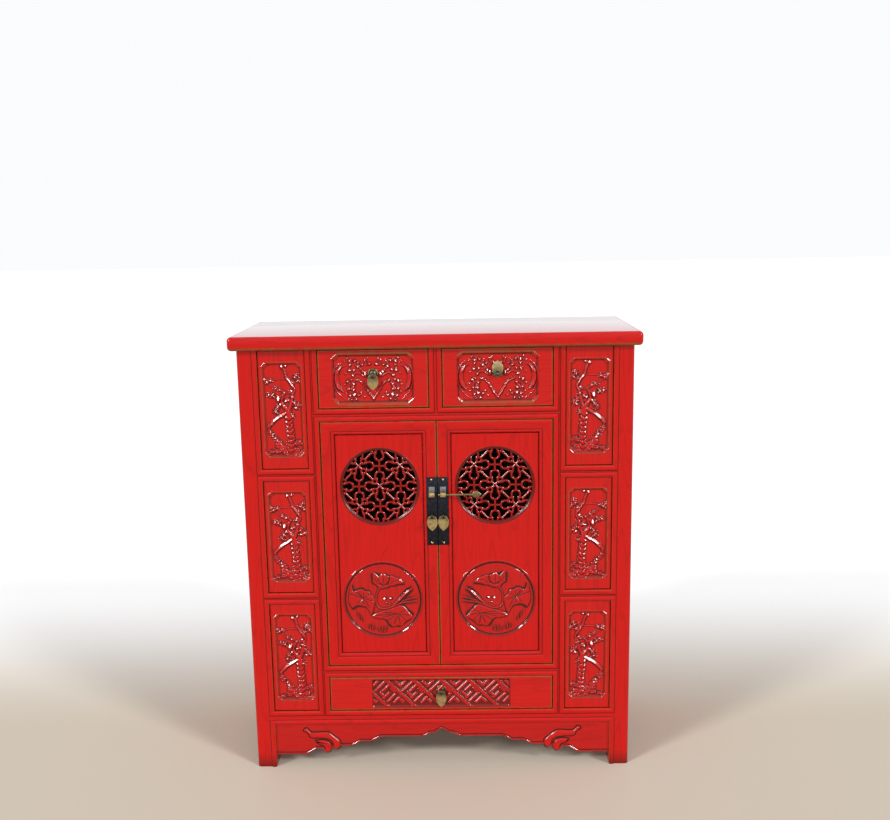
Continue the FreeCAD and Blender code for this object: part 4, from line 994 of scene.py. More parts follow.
# Doors
# Two pivot doors, each a mitred frame round a recessed panel. A round lattice is let into a window of the
# panel and a lotus is carved in a medallion below it; the panel floats in a groove of the frame.
DOOR_FACE = -168.0
DOOR_PANEL_FACE = -163.0
DOOR_INNER = 1.2
DOOR_OUTER = 256.0
DOOR_LOW = 251.5
DOOR_HIGH = 822.5
DOOR_STILE = 31.0
DOOR_RAIL = 30.0
PIVOT_X = 244.0
PIVOT_Y = -162.0
PIVOT_RADIUS = 4.0
PIVOT_LENGTH = 10.0
ROD_SIDES = 24
ROUND_X = 128.6
WINDOW_Z = 673.5
MEDALLION_Z = 407.5
# The last column is dirt and painted shade: dark at the door's edge by the gap and in the groove beside the
# panel.
FRAME_PROFILE = (
    (0, -24, 0, 0), (0, -5.4, 0, 1), (0.8, -4.6, 0, 0.9), (2.0, -2.8, 0, 0.1), (3.4, -1.0, 0, 0),
    (5.0, 0.2, 0, 0), (6.6, 0.5, 0, 0), (7.8, 0.1, 0, 0.2), (8.4, -0.8, 0, 0.9), (9.2, -0.8, 0, 0.7),
    (9.8, -0.05, 0, 0), (28.9, 0, 0, 0), (29.9, -0.2, 0.9, 0), (31.5, -1.1, 1, 0), (31.5, -2.6, 1, 0),
    (31, -3, 0, 0.6), (31, -24, 0, 0),
)


def turned(profile, segments, capped=False):
    """Steps of (radius, height) turned about the upright axis through the origin. They close into a ring,
    or else the first and the last step are capped."""
    points = []
    for radius, height in profile:
        for step in range(segments):
            turn = 2 * math.pi * step / segments
            points.append((radius * math.cos(turn), radius * math.sin(turn), height))
    faces = quads(len(profile), segments, wrap_rows=not capped)
    if capped:
        faces += [tuple(range(segments))[::-1], tuple(range(len(points) - segments, len(points)))]
    return Shape(points, faces)


def disc_grid(radius, rings, segments):
    """Points of a round board, as arrays of across and up, ring by ring from the middle."""
    reach = radius * np.arange(1, rings + 1) / rings
    turn = 2 * np.pi * np.arange(segments) / segments
    return np.outer(reach, np.cos(turn)), np.outer(reach, np.sin(turn))


VEIN = (1.2, 1.1)
CREASE = (0.8, 0.8)
LEFT_LEAF_RISE = 2.0
LOW_LEAF_RISE = 2.2
LEAF_SLOPE = 0.7
FIRST_PETAL = 2.0
NEXT_PETAL = 0.35
SEED = (3.6, 3.4, 3.4)
GRASS_WIDTHS = (1.2, 1.2, 0.5)
GRASS_RISE = 1.7


def carve_lotus(carving):
    """The lotus of a medallion, drawn about its middle: flower, stem, two broad leaves, blade and grass."""
    left_leaf = [
        (-81, 2), (-79, 18), (-72, 35), (-66, 22), (-57, 25), (-49, 27), (-40, 22), (-31, 21), (-26, 10),
        (-18, 3), (-20, -14), (-27, -35), (-33, -26), (-39, -17), (-47, -14), (-55, -12), (-63, -14),
        (-71, -18), (-77, -8),
    ]
    carving.plateau(left_leaf, LEFT_LEAF_RISE, LEAF_SLOPE)
    veins = (
        (-76, 16), (-68, 24), (-56, 20), (-44, 17), (-32, 12), (-24, -2), (-30, -20), (-44, -9), (-60, -8),
    )
    for tip_x, tip_z in veins:
        carving.cut([(-46, 5), ((tip_x - 46) / 2 + 1, (tip_z + 5) / 2), (tip_x, tip_z)], *VEIN)
    low_leaf = [
        (-28, -40), (-11, -45), (5, -47), (14, -58), (22, -65), (33, -62), (43, -62), (52, -52), (67, -43),
        (64, -36), (58, -29), (50, -19), (40, -13), (27, -17), (12, -23), (-2, -26), (-16, -31),
    ]
    carving.plateau(low_leaf, LOW_LEAF_RISE, LEAF_SLOPE)
    veins = (
        (-18, -38), (-2, -42), (10, -50), (24, -58), (38, -58), (50, -48), (58, -38), (52, -26), (0, -30),
    )
    for tip_x, tip_z in veins:
        carving.cut([(34, -34), ((tip_x + 34) / 2, (tip_z - 34) / 2 + 1), (tip_x, tip_z)], *VEIN)
    stem = [(-8, 28), (-14, 15), (-16, -1), (-11, -17), (4, -21), (24, -15), (44, -7), (62, -5), (80, -2)]
    carving.ridge(stem, (1.7, 1.6, 1.6, 1.8, 1.8, 1.6, 1.3, 1.0), 2.0)
    carving.ridge([(42, -4), (60, 2), (78, 6)], (1.0, 1.3, 0.8), 1.5)
    carving.ridge([(22, -15), (34, -2), (46, 10), (58, 21), (69, 28)], (1.2, 3.0, 3.4, 3.0, 1.0), 4.4)
    petals = (
        [(-22, 41), (-22, 52), (-21, 66), (-13, 60), (-6, 52), (-5, 42), (-12, 36)],
        [(10, 33), (15, 46), (18, 58), (29, 55), (40, 50), (48, 40), (34, 37), (22, 33)],
        [(-12, 46), (-7, 57), (1, 64), (9, 59), (15, 57), (15, 45), (6, 36), (-4, 38)],
        [(-18, 40), (-12, 33), (-8, 27), (3, 27), (14, 31), (12, 38), (0, 37)],
    )
    for number, petal in enumerate(petals):
        carving.plateau(petal, FIRST_PETAL + NEXT_PETAL * number, LEAF_SLOPE)
    creases = (
        [(0, 38), (2, 48), (1, 60)],
        [(16, 37), (26, 46), (38, 46)],
        [(-12, 40), (-16, 50), (-19, 60)],
        [(-8, 30), (0, 33), (10, 34)],
    )
    for crease in creases:
        carving.cut(crease, *CREASE)
    for x, z in ((4, 3.4), (17.4, 3.8)):
        carving.dome(x, z, *SEED)
    carving.ridge([(5, -9), (11, -6), (17, -9)], (1.0, 1.4, 1.0), 1.8)
    blades = (
        (-30, -66, -3), (-26, -64, 2), (-8, -72, -4), (-4, -70, 1), (1, -70, 5), (-50, -42, -2),
        (-56, -36, -3),
    )
    for x, z, lean in blades:
        carving.ridge([(x, z - 8), (x + lean * 0.4, z), (x + lean, z + 9)], GRASS_WIDTHS, GRASS_RISE)


def round_board(across, up, relief, dirt_and_shade):
    """A round relief that faces the front, from rings of points about the origin."""
    rings, segments = across.shape
    points = np.column_stack((across.ravel(), -relief.ravel(), up.ravel()))
    points = np.vstack((points, (0, -relief[0].mean(), 0)))
    faces = quads(rings, segments, flip=True)
    middle = rings * segments
    faces += [(middle, step, (step + 1) % segments) for step in range(segments)]
    return Shape(points, faces, 0.0, np.append(dirt_and_shade.ravel(), 0))


LOTUS_CUTS = ((-0.43, 0.57), (0.50, 0.59))
LOTUS_RING = 84.0
LOTUS_INSET = 4
LOTUS_FADE = 3
LOTUS_STAND = 0.1
LOTUS_DIRT_AND_SHADE = 4.6
DIRT_AND_SHADE_LIMITS = (0.1, 0.95)
SOFT_TURNS = 4
LOTUS_GRID = (92.6, 110, 330)
RING_STEPS = (-2.5, -1, 0.6, 2.0, 5.8, 6.6, 8.4)
RING_RISE = (0, -0.2, -1.9, -1.8, 1.1, 1.1, -0.05)
RING_DIRT_AND_SHADE_STEPS = (-1, 0.4, 3.0, 4.6, 6.0, 7.4, 8.4)
RING_DIRT_AND_SHADE = (0, 0.9, 0.95, 0.65, 0.4, 0.3, 0)


def lotus_disc(radius, rings, segments):
    """The carved round of the medallion with the groove round it, standing on the face of the door panel."""
    across, up = disc_grid(radius, rings, segments)
    carving = Carving(across, up, LOTUS_CUTS)
    carve_lotus(carving)
    reach = np.hypot(across, up)
    inset = LOTUS_RING - LOTUS_INSET - reach
    relief = LOTUS_STAND + carving.height.reshape(across.shape) * eased(inset / LOTUS_FADE)
    relief += np.interp(reach - LOTUS_RING, RING_STEPS, RING_RISE)
    soft = relief.copy()
    for turns in range(SOFT_TURNS):
        soft = (np.roll(soft, 2, 1) + soft + np.roll(soft, -2, 1)) / 3
        soft[1:-1] = (soft[2:] + soft[1:-1] + soft[:-2]) / 3
    # Dirt and painted shade where the relief lies below its smoothed self, and in the groove round the ring.
    dirt_and_shade = np.clip((soft - relief) * LOTUS_DIRT_AND_SHADE, *DIRT_AND_SHADE_LIMITS)
    dirt_and_shade = np.maximum(dirt_and_shade, np.interp(reach - LOTUS_RING, RING_DIRT_AND_SHADE_STEPS, RING_DIRT_AND_SHADE))
    return round_board(across, up, relief, dirt_and_shade)


lotus = lotus_disc(*LOTUS_GRID)
for side, sign in SIDES.items():
    left, right = sorted((sign * (DOOR_INNER + DOOR_STILE), sign * (DOOR_OUTER - DOOR_STILE)))
    low, high = DOOR_LOW + DOOR_RAIL, DOOR_HIGH - DOOR_RAIL
    window = opening_corners(left, right, low, high, DOOR_RAIL / DOOR_STILE)
    door_frame = moulding(window, True, DOOR_FACE, FRAME_PROFILE)
    pivot = turned(((PIVOT_RADIUS, 0), (PIVOT_RADIUS, PIVOT_LENGTH)), ROD_SIDES, capped=True)
    for foot in (DOOR_LOW - PIVOT_LENGTH, DOOR_HIGH):
        door_frame += pivot.moved(Matrix.Translation((sign * PIVOT_X, PIVOT_Y, foot)))
    piece = make_piece(f"{side}_door_mitred_frame", door_frame, WALL_LACQUERS)
    keep_mitres(piece, len(FRAME_PROFILE))
    fixed(piece, f"{side}_door", "red_lacquer", f"{side}_door_frame")
    finished(UPRIGHT_LACQUER, f"{side}_door_panel")
    carved = lotus if sign < 0 else lotus.mirrored()
    shift = Matrix.Translation((sign * ROUND_X, DOOR_PANEL_FACE, MEDALLION_Z))
    piece = make_piece(f"{side}_door_lotus", carved.moved(shift), (CARVED_UPRIGHT,))
    fixed(piece, f"{side}_door", "red_lacquer")

# Door lattices
# A round window in each door holds a pierced lattice: four-petalled flowers and plain crosses on a square
# grid inside a round rim, sawn from thin boards and rounded over, then lacquered with the door.
RIM_OUT = 87.7
RIM_IN = 83.0
PITCH = 46.5
STRAND = 4.0
STRAND_FLAT = 0.67
STRAND_ROUND = 1.0
LOOP_OFFSET = 23.9
LOOP_RADIUS = 9.7
LOOP_MOUTH = math.radians(35)
CURL_OFFSET = 11.3
CURL_RADIUS = 5.5
LATTICE_FRONT = -159.0
LATTICE_BACK = -150.0
LOOP_SIDES = 26
CURL_SIDES = 20
RIM_SIDES = 120
LINE_POINTS = 25
TO_FRONT = Matrix.Rotation(math.pi / 2, 4, "X")


def clipped(points, reach):
    """The parts of a line that lie inside a circle, as lists of points."""
    runs = [[]]
    for x, z in points:
        if math.hypot(x, z) <= reach:
            runs[-1].append((x, z))
        elif runs[-1]:
            runs.append([])
    return [run for run in runs if len(run) > 1]


def arc_line(centre, radius, start, end, sides):
    turns = np.linspace(start, end, sides + 1)
    return [(centre[0] + radius * math.cos(turn), centre[1] + radius * math.sin(turn)) for turn in turns]


def straight_line(start, end):
    shares = np.linspace(0, 1, LINE_POINTS)
    return [(start[0] + (end[0] - start[0]) * s, start[1] + (end[1] - start[1]) * s) for s in shares]


def lattice_lines():
    """The middle lines of all strands of one lattice, about its middle."""
    lines = []
    grid = range(-2, 3)
    for column in grid:
        for row in grid:
            x, z = column * PITCH, row * PITCH
            for quarter in range(4):
                facing = quarter * math.pi / 2
                dx, dz = round(math.cos(facing)), round(math.sin(facing))
                if (column + row) % 2:
                    arm = PITCH - LOOP_OFFSET - LOOP_RADIUS
                    lines.append(straight_line((x, z), (x + dx * arm, z + dz * arm)))
                    continue
                loop = (x + dx * LOOP_OFFSET, z + dz * LOOP_OFFSET)
                half_turn = math.pi - LOOP_MOUTH
                lines.append(arc_line(loop, LOOP_RADIUS, facing - half_turn, facing + half_turn, LOOP_SIDES))
                sx, sz = dx - dz, dx + dz
                curl = (x + sx * CURL_OFFSET, z + sz * CURL_OFFSET)
                lines.append(arc_line(curl, CURL_RADIUS, 0, 2 * math.pi, CURL_SIDES))
                inner = CURL_OFFSET - CURL_RADIUS * math.sqrt(0.5)
                outer = CURL_OFFSET + CURL_RADIUS * math.sqrt(0.5)
                lines.append(straight_line((x, z), (x + sx * inner, z + sz * inner)))
                meeting = (x + sx * PITCH / 2, z + sz * PITCH / 2)
                lines.append(straight_line((x + sx * outer, z + sz * outer), meeting))
    return [run for line in lines for run in clipped(line, (RIM_OUT + RIM_IN) / 2)]


def node_group(name, inputs, output):
    """A group of geometry nodes that takes a geometry and some lengths, with its entry and its exit."""
    tree = bpy.data.node_groups.new(name, "GeometryNodeTree")
    for number, label in enumerate(inputs):
        kind = "NodeSocketFloat" if number else "NodeSocketGeometry"
        tree.interface.new_socket(label, in_out="INPUT", socket_type=kind)
    tree.interface.new_socket(output, in_out="OUTPUT", socket_type="NodeSocketGeometry")
    return tree, tree.nodes.new("NodeGroupInput"), tree.nodes.new("NodeGroupOutput")


def close_group(tree, made, material, place):
    """Turns what a group has made into real geometry with a material, and hands it out."""
    made = node(tree, "GeometryNodeRealizeInstances", {"Geometry": made}, "Geometry")
    made = node(tree, "GeometryNodeSetMaterial", {"Geometry": made, "Material": material}, "Geometry")
    tree.links.new(made, place)


def sweep_tree(material):
    """Geometry nodes that sweep a strip with chamfered edges along every line of a curve object."""
    labels = ("Lines", "Strand width", "Strand depth", "Rounding")
    tree, entry, leave = node_group("lattice_sweep", labels, "Strands")
    lines, width, depth, rounding = [entry.outputs[label] for label in labels]
    upright = node(tree, "GeometryNodeSetCurveNormal", {"Curve": lines}, "Curve", mode="Z_UP")
    sides = {"Width": width, "Height": depth}
    section = node(tree, "GeometryNodeCurvePrimitiveQuadrilateral", sides, "Curve")
    corners = {"Curve": section, "Radius": rounding, "Count": 1}
    section = node(tree, "GeometryNodeFilletCurve", corners, "Curve", mode="POLY")
    squash = {"Geometry": section, "Scale": (1, STRAND_FLAT, 1)}
    section = node(tree, "GeometryNodeTransform", squash, "Geometry")
    sweep = {"Curve": upright, "Profile Curve": section, "Fill Caps": True}
    strips = node(tree, "GeometryNodeCurveToMesh", sweep, "Mesh")
    close_group(tree, strips, material, leave.inputs["Strands"])
    return tree


def shape_from(holder):
    """The points and faces of an object with its modifiers, which is then taken away."""
    bpy.context.view_layer.update()
    made = bpy.data.meshes.new_from_object(holder.evaluated_get(bpy.context.evaluated_depsgraph_get()))
    points = [tuple(vert.co) for vert in made.vertices]
    shape = Shape(points, [tuple(face.vertices) for face in made.polygons])
    bpy.data.objects.remove(holder)
    bpy.data.meshes.remove(made)
    return shape


def shaped_by(group, data, values):
    """The shape that a group of geometry nodes makes of some data, with the values of its inputs by name."""
    holder = linked(group.name, data)
    modifier = holder.modifiers.new(group.name, "NODES")
    modifier.node_group = group
    for item in group.interface.items_tree:
        if item.name in values:
            modifier[item.identifier] = float(values[item.name])
    return shape_from(holder)


LATTICE_SWEEP = sweep_tree(UPRIGHT_LACQUER)


def swept(lines, cyclic, width, depth):
    """One strip along each line, as a shape that stands upright with its middle at the origin."""
    curve = bpy.data.curves.new("strand_lines", "CURVE")
    curve.dimensions = "3D"
    for line in lines:
        spline = curve.splines.new("POLY")
        spline.points.add(len(line) - 1)
        for point, (x, z) in zip(spline.points, line):
            point.co = (x, z, 0, 1)
        spline.use_cyclic_u = cyclic
    values = {"Strand width": width, "Strand depth": depth / STRAND_FLAT, "Rounding": STRAND_ROUND}
    return shaped_by(LATTICE_SWEEP, curve, values).moved(TO_FRONT)


# The third column is painted shade: the whole ring at the window's edge is darkened.
WINDOW_EDGE = (
    (84.4, -4.3, 0.9), (87.9, -4.3, 0.9), (87.9, 0.02, 0.9), (89.7, 0.02, 0.5), (89.1, 0.5, 0.7),
    (88.6, 0.62, 0.85), (88.1, 0.5, 0.8), (84.4, -2.0, 0.75),
)
EDGE_SIDES = 160
STRAND_TONE_AND_SHADE = 0.4
STRAND_SHADE_FADE = 2.4
RIM_SHADE = 0.8
RIM_MIDDLE = (RIM_OUT + RIM_IN) / 2
MIDDLE_Y = (LATTICE_FRONT + LATTICE_BACK) / 2
depth = LATTICE_BACK - LATTICE_FRONT
lattice = swept(lattice_lines(), False, STRAND, depth)
# The strands are darkened a little all over as dark lacquer, and more towards the back as painted shade.
lattice.dirt_and_shade = np.clip(STRAND_TONE_AND_SHADE + (lattice.points[:, 1] + depth / 2) / STRAND_SHADE_FADE, 0, MOST_DIRT_AND_SHADE)
rim_line = arc_line((0, 0), RIM_MIDDLE, 0, 2 * math.pi, RIM_SIDES)[:-1]
round_rim = swept([rim_line], True, RIM_OUT - RIM_IN, depth)
# The rim behind the strands is darkened as painted shade.
round_rim.dirt_and_shade += RIM_SHADE
window_edge = turned([row[:2] for row in WINDOW_EDGE], EDGE_SIDES).moved(TO_FRONT)
window_edge.dirt_and_shade = np.repeat([row[2] for row in WINDOW_EDGE], EDGE_SIDES)
window_edge = window_edge.moved(Matrix.Translation((0, DOOR_PANEL_FACE - MIDDLE_Y, 0)))
lattice = lattice + round_rim + window_edge
for side, sign in SIDES.items():
    shift = Matrix.Translation((sign * ROUND_X, MIDDLE_Y, WINDOW_Z))
    piece = make_piece(f"{side}_lattice_strands", lattice.moved(shift), (UPRIGHT_LACQUER,), crease=25)
    fixed(piece, f"{side}_door", "red_lacquer", f"{side}_door_lattice")

# Lock
# A tall iron plate in two halves, nailed to the meeting stiles with small brass dome nails. Each half has
# a rolled brass eye, and a brass pin with a leaf head slides through both eyes to lock the doors.
PLATE_LOW = 538.5
PLATE_HIGH = 695.5
PLATE_FACE = -169.5
PLATE_NEAR = 0.6
PLATE_FAR = 24.6
PLATE_ROUND = 0.6
NAIL_RADIUS = 2.5
NAIL_FLAT = 0.6
NAIL_X = 13.0
NAIL_INSET = 5.6
EYE_X = 12.6
EYE_Y = -176.0
EYE_Z = 657.0
EYE_HALF = 6.5
EYE_SIDES = 32
EYE_PROFILE = ((3, -6.5), (5.9, -6.5), (6.5, -5.9), (6.5, 5.9), (5.9, 6.5), (3, 6.5))
STRAP_FACE = -171.1
STRAP_LOW = 655.0
STRAP_TOP = 674.0
STRAP_ROUND = 0.5
TARNISH_WAVES = (160, 160, 160)
TARNISH_DETAIL = 4
TARNISH_LEVELS = ((0.45, 0), (0.75, 0.7))
IRON = (0.022, 0.024, 0.034, 1)
IRON_WORN = (0.05, 0.052, 0.062, 1)
BRASS = (0.60, 0.46, 0.22, 1)
STEEL = (0.30, 0.29, 0.32, 1)
BRASS_DARK = (0.09, 0.072, 0.045, 1)


def metal(name, clean, aged_colour, roughness):
    """Old metal: clean where it is handled, dark in patches and where dirt sits."""
    material, tree, shader = new_material(name, {"Metallic": 1, "Roughness": roughness})
    patches = spread(tree, stretched_noise(tree, TARNISH_WAVES, TARNISH_DETAIL), TARNISH_LEVELS)
    colour = mixed_colour(tree, patches, clean, aged_colour)
    colour = mixed_colour(tree, attribute(tree, "dirt_and_shade"), colour, aged_colour)
    tree.links.new(colour, shader.inputs["Base Color"])
    return material


BLACK_IRON = metal("black_iron", IRON, IRON_WORN, 0.42)
AGED_BRASS = metal("aged_brass", BRASS, BRASS_DARK, 0.3)
TARNISHED_BRASS = metal("tarnished_brass", BRASS_DARK, IRON_WORN, 0.4)
WORN_STEEL = metal("worn_steel", STEEL, IRON_WORN, 0.36)

ALONG_X = Matrix.Rotation(math.pi / 2, 4, "Y")


def placed(x, y, z, turn):
    return Matrix.Translation((x, y, z)) @ turn


def nail_tree(material):
    """Geometry nodes that set a flattened dome on every point of a mesh."""
    tree, entry, leave = node_group("dome_nails", ("Places", "Nail radius"), "Nails")
    sphere = {"Radius": entry.outputs["Nail radius"], "Segments": 20, "Rings": 10}
    dome = node(tree, "GeometryNodeMeshUVSphere", sphere, "Mesh")
    dome = node(tree, "GeometryNodeTransform", {"Geometry": dome, "Scale": (1, NAIL_FLAT, 1)}, "Geometry")
    places = node(tree, "GeometryNodeMeshToPoints", {"Mesh": entry.outputs["Places"]}, "Points")
    nails = node(tree, "GeometryNodeInstanceOnPoints", {"Points": places, "Instance": dome}, "Instances")
    close_group(tree, nails, material, leave.inputs["Nails"])
    return tree


DOME_NAILS = nail_tree(AGED_BRASS)
for side, sign in SIDES.items():
    near, far = sorted((sign * PLATE_NEAR, sign * PLATE_FAR))
    plate = rounded_block((near, PLATE_FACE, PLATE_LOW), (far, DOOR_FACE, PLATE_HIGH), PLATE_ROUND, 2)
    piece = make_piece(f"{side}_iron_plate", plate, (BLACK_IRON,), crease=40)
    fixed(piece, f"{side}_door", "black_iron", f"{side}_lock_plate")
    heads = bpy.data.meshes.new("nail_places")
    levels = (PLATE_LOW + NAIL_INSET, PLATE_HIGH - NAIL_INSET)
    heads.from_pydata([(sign * NAIL_X, PLATE_FACE, level) for level in levels], [], [])
    nails = shaped_by(DOME_NAILS, heads, {"Nail radius": NAIL_RADIUS})
    piece = make_piece(f"{side}_plate_nails", nails, (AGED_BRASS,))
    fixed(piece, f"{side}_door", "aged_brass")
    middle = sign * EYE_X
    eye = turned(EYE_PROFILE, EYE_SIDES).moved(placed(middle, EYE_Y, EYE_Z, ALONG_X))
    low, high = (middle - EYE_HALF, STRAP_FACE, STRAP_LOW), (middle + EYE_HALF, PLATE_FACE, STRAP_TOP)
    strap = rounded_block(low, high, STRAP_ROUND, 2)
    strap.finish = [1] * len(strap.faces)
    piece = make_piece(f"{side}_rolled_eye", eye + strap, (AGED_BRASS, WORN_STEEL), crease=40)
    fixed(piece, f"{side}_door", "aged_brass", f"{side}_lock_eye")

PIN_START = 1.2
PIN_END = 79.2
PIN_RADIUS = 2.2
PIN_Z = 656.7
PIN_SOIL = 0.6
HEAD_X = 77.5
HEAD_BLADE = (7.5, 0.5, 6.0, 20.5, 3.0)
CROWN_START = 0.06
CROWN_STEPS = 9
TIP_STEPS = 15
TIP_CURVE = 2.5
TIP_HALF = 0.05
BLADE_STEPS = 17
BLADE_RIM = 0.1


def leaf_blade(half_width, crown, shoulder, tip, thickness):
    """A domed leaf that hangs from a point: a round crown above it and a sharp end below it."""
    turns = np.linspace(CROWN_START, math.pi / 2, CROWN_STEPS)
    crown_up = -shoulder + (crown + shoulder) * np.cos(turns)
    crown_half = half_width * np.sin(turns)
    shares = np.linspace(0, 1, TIP_STEPS)[1:]
    tip_up = -shoulder - (tip - shoulder) * shares
    tip_half = half_width * (1 - shares**TIP_CURVE) + TIP_HALF
    heights = np.concatenate((crown_up, tip_up))[::-1]
    halves = np.concatenate((crown_half, tip_half))[::-1]
    spread_out = np.sin(np.linspace(-math.pi / 2, math.pi / 2, BLADE_STEPS))
    across = np.outer(halves, spread_out)
    up = np.repeat(heights[:, None], len(spread_out), axis=1)
    reach = np.sqrt(np.clip(halves / half_width, 0, 1))[:, None]
    domed = np.sqrt(np.clip(1 - spread_out**2, 0, 1))[None, :] * reach
    zeros = np.zeros_like(across)
    half = thickness / 2
    return carved_board(across, up, BLADE_RIM, half, domed * (half + BLADE_RIM), zeros, zeros)


head = leaf_blade(*HEAD_BLADE)
head = head.moved(placed(HEAD_X, EYE_Y, PIN_Z, Matrix.Rotation(-math.pi / 2, 4, "Y")))
rod_steps = ((0.4, 0), (1.6, 0.4), (PIN_RADIUS, 1.6), (PIN_RADIUS, PIN_END - PIN_START))
rod = turned(rod_steps, ROD_SIDES, capped=True)
rod = rod.moved(placed(PIN_START, EYE_Y, PIN_Z, ALONG_X))
pin = rod + head
pin.dirt_and_shade += PIN_SOIL
piece = make_piece("latch_pin_brass", pin, (AGED_BRASS,), crease=40)
fixed(piece, "latch_pin", "aged_brass", "latch_pin")

# Drawers
# Two upper drawers and a wide bottom drawer, each a front of elm nailed to a plain box. The upper fronts
# carry a bat among blossoms between two scrolls, the bottom front a fret of slanting bars.
DRAWER_FACE = -168.0
DRAWER_BACK = -148.0
DRAWER_X = 136.0
DRAWER_Z = 918.0
FIELD_HALF_WIDTH = 90.0
FIELD_HALF_HEIGHT = 55.0
FIELD_CORNER = 14.0
FIELD_DEPTH = 3.0
FIELD_GROUND = 0.9
DRAWER_EDGE = (0.9, 2.2)
WORN_EDGE = 2.4
CLEAN_EDGE = 3
RIM_AT = (-1.0, 2.2)
FIELD_DIRT_AND_SHADE = 0.9
RIM_CLEAN = 0.6
CROWN_DIRT_AND_SHADE = 0.3
DRAWER_CUTS = ((-0.43, 0.43), (0.47, 0.43))
UPPER_FRONT = (853.5, 982.5)
UPPER_ENDS = (15.5, 256.5)
UPPER_EYE_Z = 926.0
UPPER_RIM = 0.95
ROSETTE_Y = -165.0
ROSETTE_RADIUS = 12.2
ROSETTE_RISE = 1.0
ROSETTE_GRID = (1.0, 14, 64)
ROSETTE_RIM = (0.82, 0.13)
LOBES = 8
LOBE_REACH = 0.4
BOSS_RISE = 3.4
BOSS_REACH = 0.55
DARK_MIDDLE = 0.66
RING_RADIUS = 4.25
RING_HALF = 1.25
RING_SECTION = 12
RING_DEEP = 1.2
RING_Y = -9.2
RING_DARK = 0.9
STALK = ((1.8, 0), (1.8, 4.5))
STALK_Y = -0.5
STALK_SIDES = 16
BOTTOM_Z = 180.5
FRET_HALF_WIDTH = 160.0
FRET_HALF_HEIGHT = 35.0
FRET_CORNER = 3.0
FRET_DIRT_AND_SHADE = 0.72
FRET_GRID = 0.75
BOTTOM_FRONT = (140.5, 220.5)
BOTTOM_END = 256.5
BOTTOM_EYE_Z = 186.0
BERRY_RISE = 3.0
BLOSSOM_RISE = 3.6
BLOSSOM_ROUND = 2.4
BLOSSOM_DIRT_AND_SHADE = 0.92
LEAN_CHANGE = 40


def carve_bat(carving):
    """The carving of an upper drawer about the middle of its field: scrolls, blossoms, wings, garland."""
    strokes = (
        ([(58, 29), (68, 28), (77, 17), (80, 1), (77, -14), (67, -28)], (1.0, 2.6, 4.2, 5.0, 4.6, 1.4), 4.4),
        (
            [(70, 37), (83, 24), (86.5, 6), (85, -12), (78, -30), (62, -46)],
            (0.8, 1.2, 1.4, 1.4, 1.3, 0.8),
            1.6,
        ),
        ([(20, 5), (30, 13), (40, 12), (47, 6)], (1.4, 2.2, 2.0, 1.0), 1.9),
        ([(41, -10), (45, -18), (50, -24)], (1.4, 2.6, 1.4), 2.2),
        ([(38, -3), (27, -7), (18, -15), (9, -31), (0, -44)], (1.2, 1.7, 2.2, 2.4, 2.4), 2.0),
        ([(11, 47), (16, 38), (13, 30)], (1.2, 2.0, 1.4), 1.9),
        ([(27, 42), (32, 34), (30, 26), (24, 18)], (1.1, 1.5, 1.5, 1.0), 1.6),
        ([(46, 43), (47, 35), (51, 28), (52, 18)], (1.1, 1.5, 1.5, 1.0), 1.6),
        ([(57, -4), (52, -11), (54, -20), (52, -34)], (1.1, 1.5, 1.5, 1.1), 1.6),
        ([(30, -37), (38, -41), (48, -41), (56, -46)], (1.1, 1.4, 1.4, 0.9), 1.6),
    )
    blossoms = (
        (50, 39, 4.6), (39, 40, 4.2), (33, 28, 4.8), (51, 19, 4.8), (50, 31, 4.0), (8, 33, 4.4),
        (22, 16, 4.6), (44, 8, 4.6), (55, -5, 4.8), (42, -11, 4.6), (54, -22, 4.4), (43, -23, 4.4),
        (41, -35, 6.0), (32, -36, 4.2), (51, -37, 4.4), (34, -3, 4.0), (15, -21, 4.2), (8, -33, 4.2),
        (24, 31, 3.8), (23, -9, 3.8),
    )
    bosses = (
        (56, 46, 2.4), (17, 42, 2.6), (41, 20, 2.6), (60, 12, 2.4), (62, -13, 2.4), (27, -30, 2.4),
        (20, -40, 2.4), (62, 38, 2.4), (37, -45, 2.6), (26, -6, 2.4), (47, -46, 2.4), (48, -2, 2.4),
        (60, -30, 2.4),
    )
    for sign in (-1, 1):
        for points, widths, height in strokes:
            carving.ridge([(sign * x, z) for x, z in points], widths, height, -sign)
        for x, z, radius in bosses:
            carving.dome(sign * x, z, radius, radius, BERRY_RISE, sign)
        for x, z, radius in blossoms:
            lean = -sign if x < LEAN_CHANGE else sign
            carving.blossom(sign * x, z, radius, BLOSSOM_RISE, lean)
            carving.darken(sign * x, z, radius + BLOSSOM_ROUND, BLOSSOM_DIRT_AND_SHADE)
        carving.dome(sign * 16.4, 10, 3.4, 7.0, 4.0, sign)
    carving.blossom(0, -43, 4.4, 3.4)


FRET_BAND = 45.0
FRET_BANDS = range(-3, 6)
FRET_REACH = 200
BAR_STEP = 0.6
FRET_LONG_AT = -67.0
FRET_CROSS_AT = -79.3
FRET_CROSS = ((0, 9, 32.5), (12.4, 6, 42), (24.7, 18, 42), (38.4, 6, 28.5), (50.8, 6, 39), (63.2, 15, 39))
FRET_SHORT = ((12.2, -18, -1.5), (12.2, 20, 36), (38.6, 30.5, 48.6), (33.4, 65.4, 81))
LONG_HALF = 4.8
LONG_RISE = 2.7
CROSS_HALF = 4.1
CROSS_RISE = 3.0
SHORT_HALF = 4.0
SHORT_RISE = 2.4
SLANT_CUT = 0.6
STEEP_CUT = 9.0


